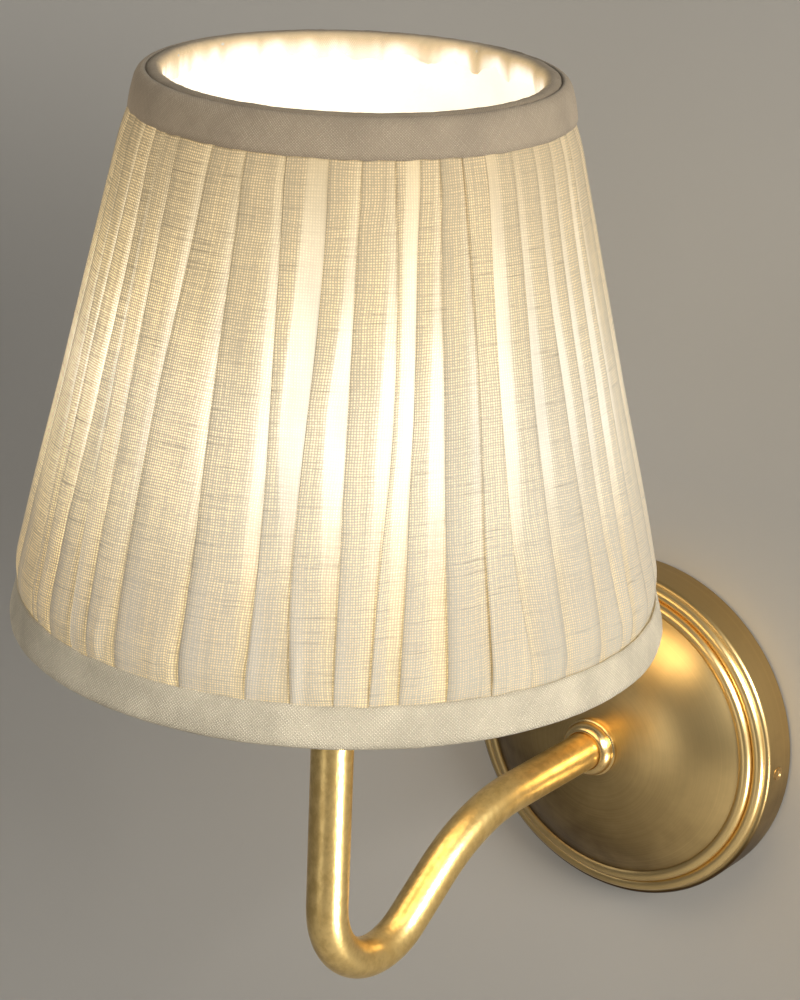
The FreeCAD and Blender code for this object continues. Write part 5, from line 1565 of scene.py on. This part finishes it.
@dataclass
class SwanArm:
    """The hollow arm: out of the wall, down through a wide bend, and up through a tight one.

    Attributes:
        outer: the tube's radius, in millimetres.
        bore: its bore's radius.
        start: how far from the wall it starts.
        first_run: where the wide bend starts.
        wide: the wide bend's radius and its turn in degrees.
        slope_end: where the slope ends and the tight bend starts.
        tight: the tight bend's radius and its turn in degrees.
        top: the height at which it ends.
        segments: how many sides the tube has.
    """

    outer: float = 5.5
    bore: float = 4.3
    start: float = -27.0
    first_run: float = -66.5
    wide: tuple[float, float] = (60.0, 36.0)
    slope_end: Point = (-114.3, -20.5)
    tight: tuple[float, float] = (22.5, 126.0)
    top: float = 50.0
    segments: int = 40

    def sweep(self, radius: float) -> bmesh.types.BMesh:
        """Extrudes and spins one circle along the arm's line.

        Args:
            radius: the circle's radius, in millimetres.

        Returns:
            An open tube, in millimetres.
        """
        bm = bmesh.new()
        ring = bmesh.ops.create_circle(bm, cap_ends=False, segments=self.segments, radius=radius)["verts"]
        bmesh.ops.rotate(bm, verts=ring, cent=(0, 0, 0), matrix=Matrix.Rotation(math.pi / 2, 3, "X"))
        bmesh.ops.translate(bm, verts=ring, vec=(0.0, self.start, 0.0))
        last: list[Any] = list({edge for vert in ring for edge in vert.link_edges})

        def straight(vec: Vector, steps: int) -> None:
            """Extrudes the last ring along a straight run."""
            nonlocal last
            for _ in range(steps):
                out = bmesh.ops.extrude_edge_only(bm, edges=last)["geom"]
                moved = [part for part in out if isinstance(part, bmesh.types.BMVert)]
                bmesh.ops.translate(bm, verts=moved, vec=vec / steps)
                last = [part for part in out if isinstance(part, bmesh.types.BMEdge) and part.is_boundary]

        def bend(centre: Vector, degrees: float, steps: int) -> None:
            """Spins the last ring round a bend."""
            nonlocal last
            out = bmesh.ops.spin(bm, geom=last, cent=centre, axis=(1.0, 0.0, 0.0), dvec=(0, 0, 0),
                                 angle=math.radians(degrees), steps=steps, use_merge=False,
                                 use_normal_flip=False, use_duplicate=False)["geom_last"]
            last = [part for part in out if isinstance(part, bmesh.types.BMEdge)]

        straight(Vector((0.0, self.first_run - self.start, 0.0)), 6)
        bend(Vector((0.0, self.first_run, -self.wide[0])), self.wide[1], 16)
        slope = math.radians(self.wide[1])
        reach, drop = self.wide[0] * math.sin(slope), self.wide[0] * (1 - math.cos(slope))
        low = Vector((0.0, self.first_run - reach, -drop))
        end = Vector((0.0, *self.slope_end))
        straight(end - low, 3)
        centre = end + Vector((0.0, -math.sin(slope), math.cos(slope))) * self.tight[0]
        bend(centre, -self.tight[1], 36)
        straight(Vector((0.0, 0.0, self.top - centre.z)), 8)
        return bm

    def build(self) -> bpy.types.Object:
        """Joins the outer and inner sweeps at their ends into one hollow arm.

        Returns:
            The finished piece.
        """
        bm = self.sweep(self.outer)
        inner = bpy.data.meshes.new("bore")
        tube = self.sweep(self.bore)
        tube.to_mesh(inner)
        tube.free()
        bm.from_mesh(inner)
        bpy.data.meshes.remove(inner)
        rims = [edge for edge in bm.edges if edge.is_boundary]
        for near_wall in (True, False):
            pair = [edge for edge in rims
                    if all((vert.co.y > self.start - 1.0) is near_wall for vert in edge.verts)]
            bmesh.ops.bridge_loops(bm, edges=pair)
        bmesh.ops.scale(bm, vec=(MM, MM, MM), verts=bm.verts)
        made = finished("swan_arm", bm, 50.0)
        return keep(made, "root", ARM_BRASS, "aged_brass", "arm_tube")


# ------------------------------------------------------------------ stage, light and camera
@dataclass(frozen=True)
class SoftLamp:
    """One round lamp of the studio.

    Attributes:
        name: its name.
        place: where it is, in metres.
        size: its width, in metres.
        power: its power, in watts.
        colour: its colour.
        aim: what it points at, in metres.
        glint: True when it lights only reflections.
        seen: True when the camera may see it.
    """

    name: str
    place: tuple[float, float, float]
    size: float
    power: float
    colour: Colour = (1.0, 0.97, 0.92)
    aim: tuple[float, float, float] = (0.0, -0.12, 0.1)
    glint: bool = False
    seen: bool = True

    def build(self) -> None:
        """Adds the lamp."""
        data = bpy.data.lights.new(self.name, "AREA")
        data.shape, data.size, data.energy, data.color = "DISK", self.size, self.power, self.colour
        made = bpy.data.objects.new(self.name, data)
        turn = (Vector(self.aim) - Vector(self.place)).to_track_quat("-Z", "Y").to_matrix().to_4x4()
        made.matrix_world = Matrix.Translation(Vector(self.place)) @ turn
        made.visible_diffuse, made.visible_camera = not self.glint, self.seen
        bpy.context.scene.collection.objects.link(made)


SOFT_LAMPS = (
    SoftLamp("key", (1.77, -0.90, 0.85), 0.9, 38.0),
    SoftLamp("low glint", (1.5, -0.16, -0.72), 0.3, 22.0, glint=True),
    SoftLamp("high glint", (1.5, -0.16, 0.72), 0.3, 38.0, glint=True),
    SoftLamp("front", (-0.15, -1.9, -0.45), 0.9, 1.6, (1.0, 0.98, 0.95)),
    SoftLamp("fill", (-1.2, -1.7, 1.5), 1.2, 7.0, (0.95, 0.97, 1.0)),
    SoftLamp("bulb", (0.0, -0.15, 0.1), 0.13, 0.09, (1.0, 0.68, 0.34), aim=(0.0, -0.15, 0.0), seen=False),
)


@dataclass
class Studio:
    """Pale wall and floor, soft lamps and the camera.

    Attributes:
        place: the camera's place, in millimetres.
        yaw: its turn from straight into the wall, in radians.
        pitch: how far it looks down, in radians.
        roll: how far it leans, in radians.
        lens: its focal length on a sensor 36 mm high.
        floor: the floor's height, in millimetres.
        gap: how far behind the light the wall is, in metres.
        size: half the width of the wall and of the floor, in metres.
        opening: the radius, in millimetres, within which the wall is clear behind the wall plate.
        room: the strength of the light from all round.
    """

    place: tuple[float, float, float] = (415.56, -699.80, 357.82)
    yaw: float = -0.6261
    pitch: float = 0.3461
    roll: float = 0.0396
    lens: float = 107.795
    floor: float = -900.0
    gap: float = 0.0006
    size: float = 3.0
    opening: float = 49.0
    room: float = 0.17

    def camera(self) -> None:
        """Sets the camera at the photograph's angle."""
        data = bpy.data.cameras.new("camera")
        data.sensor_fit, data.sensor_height, data.lens = "VERTICAL", 36.0, self.lens
        data.clip_start, data.clip_end = 0.01, 20.0
        level_part = math.cos(self.pitch)
        ahead = Vector((math.sin(self.yaw) * level_part, math.cos(self.yaw) * level_part,
                        -math.sin(self.pitch)))
        right = ahead.cross(Vector((0, 0, 1))).normalized()
        up = right.cross(ahead)
        level = right * math.cos(self.roll) + up * math.sin(self.roll)
        tall = up * math.cos(self.roll) - right * math.sin(self.roll)
        made = bpy.data.objects.new("camera", data)
        made.matrix_world = Matrix.Translation(Vector(self.place) * MM) @ Matrix(
            (level, tall, -ahead)).transposed().to_4x4()
        bpy.context.scene.collection.objects.link(made)
        bpy.context.scene.camera = made

    def pale(self, name: str, colour: Colour, one_sided: bool) -> bpy.types.Material:
        """Makes the stage's plain finish; a one-sided wall is clear from behind and inside the wall plate.

        Args:
            name: its name.
            colour: its colour.
            one_sided: True when it is clear from behind.

        Returns:
            The material.
        """
        made = bpy.data.materials.new(name)
        made.use_nodes = True
        made.node_tree.nodes.clear()
        graph = Graph(made.node_tree)
        shader = graph.node("ShaderNodeBsdfPrincipled", {"Roughness": 0.9, "Base Color": (*colour, 1.0)})
        surface = shader.outputs[0]
        if one_sided:
            clear = graph.node("ShaderNodeBsdfTransparent")
            behind = graph.node("ShaderNodeNewGeometry").outputs["Backfacing"]
            away = graph.vector("LENGTH", graph.node("ShaderNodeTexCoord").outputs["Object"])
            unseen = graph.math("MAXIMUM", behind, graph.math("LESS_THAN", away, self.opening * MM))
            mixed = graph.node("ShaderNodeMixShader", {0: unseen, 1: surface, 2: clear.outputs[0]})
            surface = mixed.outputs[0]
        graph.node("ShaderNodeOutputMaterial", {"Surface": surface})
        return made

    def plane(self, name: str, middle: Vector, turn: float, finish: bpy.types.Material) -> None:
        """Adds one flat sheet of the stage.

        Args:
            name: its name.
            middle: its middle, in metres.
            turn: its turn about the X axis, in radians.
            finish: its material.
        """
        bm = bmesh.new()
        bmesh.ops.create_grid(bm, x_segments=1, y_segments=1, size=self.size)
        bmesh.ops.rotate(bm, verts=bm.verts, cent=(0, 0, 0), matrix=Matrix.Rotation(turn, 3, "X"))
        bmesh.ops.translate(bm, verts=bm.verts, vec=middle)
        made = finished(name, bm, recalculate=False)
        made.data.materials.append(finish)

    def build(self) -> None:
        """Builds the stage, the light and the camera."""
        self.camera()
        wall = self.pale("Pale wall", (0.46, 0.44, 0.40), True)
        floor = self.pale("Pale floor", (0.62, 0.60, 0.57), False)
        self.plane("backdrop", Vector((0.0, self.gap, 1.0)), math.pi / 2, wall)
        self.plane("floor", Vector((0.0, self.gap - self.size, self.floor * MM)), 0.0, floor)
        for lamp in SOFT_LAMPS:
            lamp.build()
        world = bpy.data.worlds.new("soft")
        world.use_nodes = True
        background = world.node_tree.nodes["Background"]
        background.inputs["Color"].default_value = (0.93, 0.93, 0.95, 1.0)
        background.inputs["Strength"].default_value = self.room
        bpy.context.scene.world = world
        bpy.context.scene.view_settings.view_transform = "Standard"


NODE_FINISHES: dict[Finish, tuple[str, ...]] = {
    AGED_BRASS: ("arm_nut", "candle_cup"),
    BRIGHT_BRASS: ("lampholder_shell", "centre_contact"),
    SPRING_BRASS: ("clip_loops", "clip_crown", "clip_yoke", "crown_rivet", "tilt_rivets", "friction_washers"),
    ZINC: ("wall_bracket", "lock_washer", "holder_bracket", "earth_screw", "clamp_screws", "earth_tag"),
    NICKEL: ("lamp_cap", "lamp_contact"),
    WIRE: ("top_ring", "bottom_ring", "frame_struts", "carrier_arms", "filament_frame"),
    IVORY: ("candle_tube",),
    WHITE: ("lampholder_body", "terminal_block", "tube_bush"),
    BLACK: ("lamp_insulator",),
    STEM_GLASS: ("lamp_stem",),
    BROWN_WIRE: ("live_wire",),
    BLUE_WIRE: ("neutral_wire",),
    EARTH_WIRE: ("earth_wire",),
    GlassFinish("Lamp glass"): ("lamp_glass",),
    GlowFinish("Filament"): ("filaments",),
}


def main() -> None:
    """Builds every sub-assembly around the frame and finishes the carried-over nodes."""
    logging.basicConfig(level=logging.INFO, format="%(message)s")
    Studio().build()
    PleatedCover().build()
    ShadeLining().build()
    Binding("top_binding", "grey_trim", GREY_TAPE,
            ((-1.25, 206.2, 0.18), (-1.4, 207.8, 0.17), (-1.5, 209.6, 0.16), (-1.5, 211.4, 0.15),
             (-1.4, 212.8, 0.14), (-1.1, 213.8, 0.13), (-0.6, 214.5, 0.12), (0.0, 214.8, 0.08),
             (0.4, 214.75, -0.1), (0.65, 214.4, -0.6), (0.7, 213.6, -0.9)),
            0.45, (0.3, 0.14, 0.2), "top_ring", (0.318, 0.0112), 3.0, "top_trim").build()
    Binding("turned_lining", "lining_cloth", RAGGED_LINING,
            ((0.75, 213.6, -0.9), (0.8, 214.4, -0.6), (1.15, 214.9, -0.1), (2.0, 215.15, 0.0),
             (2.9, 215.2, 0.0), (3.7, 214.95, 0.22), (4.35, 214.4, 0.55), (4.75, 213.6, 0.82),
             (4.95, 212.7, 1.0), (5.05, 211.8, 1.12), (5.1, 210.9, 1.2)),
            0.3, (0.1, 0.30, 0.5), "top_ring", (0.296, 0.0115), 12.0, ragged=2.6).build()
    Binding("bottom_binding", "pale_trim", PALE_TAPE,
            ((-0.2, 88.2, 0.1), (-0.3, 86.6, 0.1), (-0.35, 84.6, 0.1), (-0.35, 82.4, 0.1), (-0.25, 80.4, 0.1),
             (0.3, 79.0, 0.08), (1.3, 78.3, 0.05), (2.7, 78.3, 0.1), (4.0, 79.0, 0.5), (4.8, 80.2, 0.9),
             (5.15, 81.8, 1.0), (5.2, 83.5, 1.0), (5.2, 85.2, 1.0)),
            0.5, (0.3, 0.15, 0.5), "bottom_ring", (0.502, 0.0198), 8.0, "bottom_trim").build()
    WallPlate().build()
    SwanArm().build()
    for finish, names in NODE_FINISHES.items():
        for name in names:
            dress(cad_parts[name], finish)


if __name__ == "__main__":
    main()
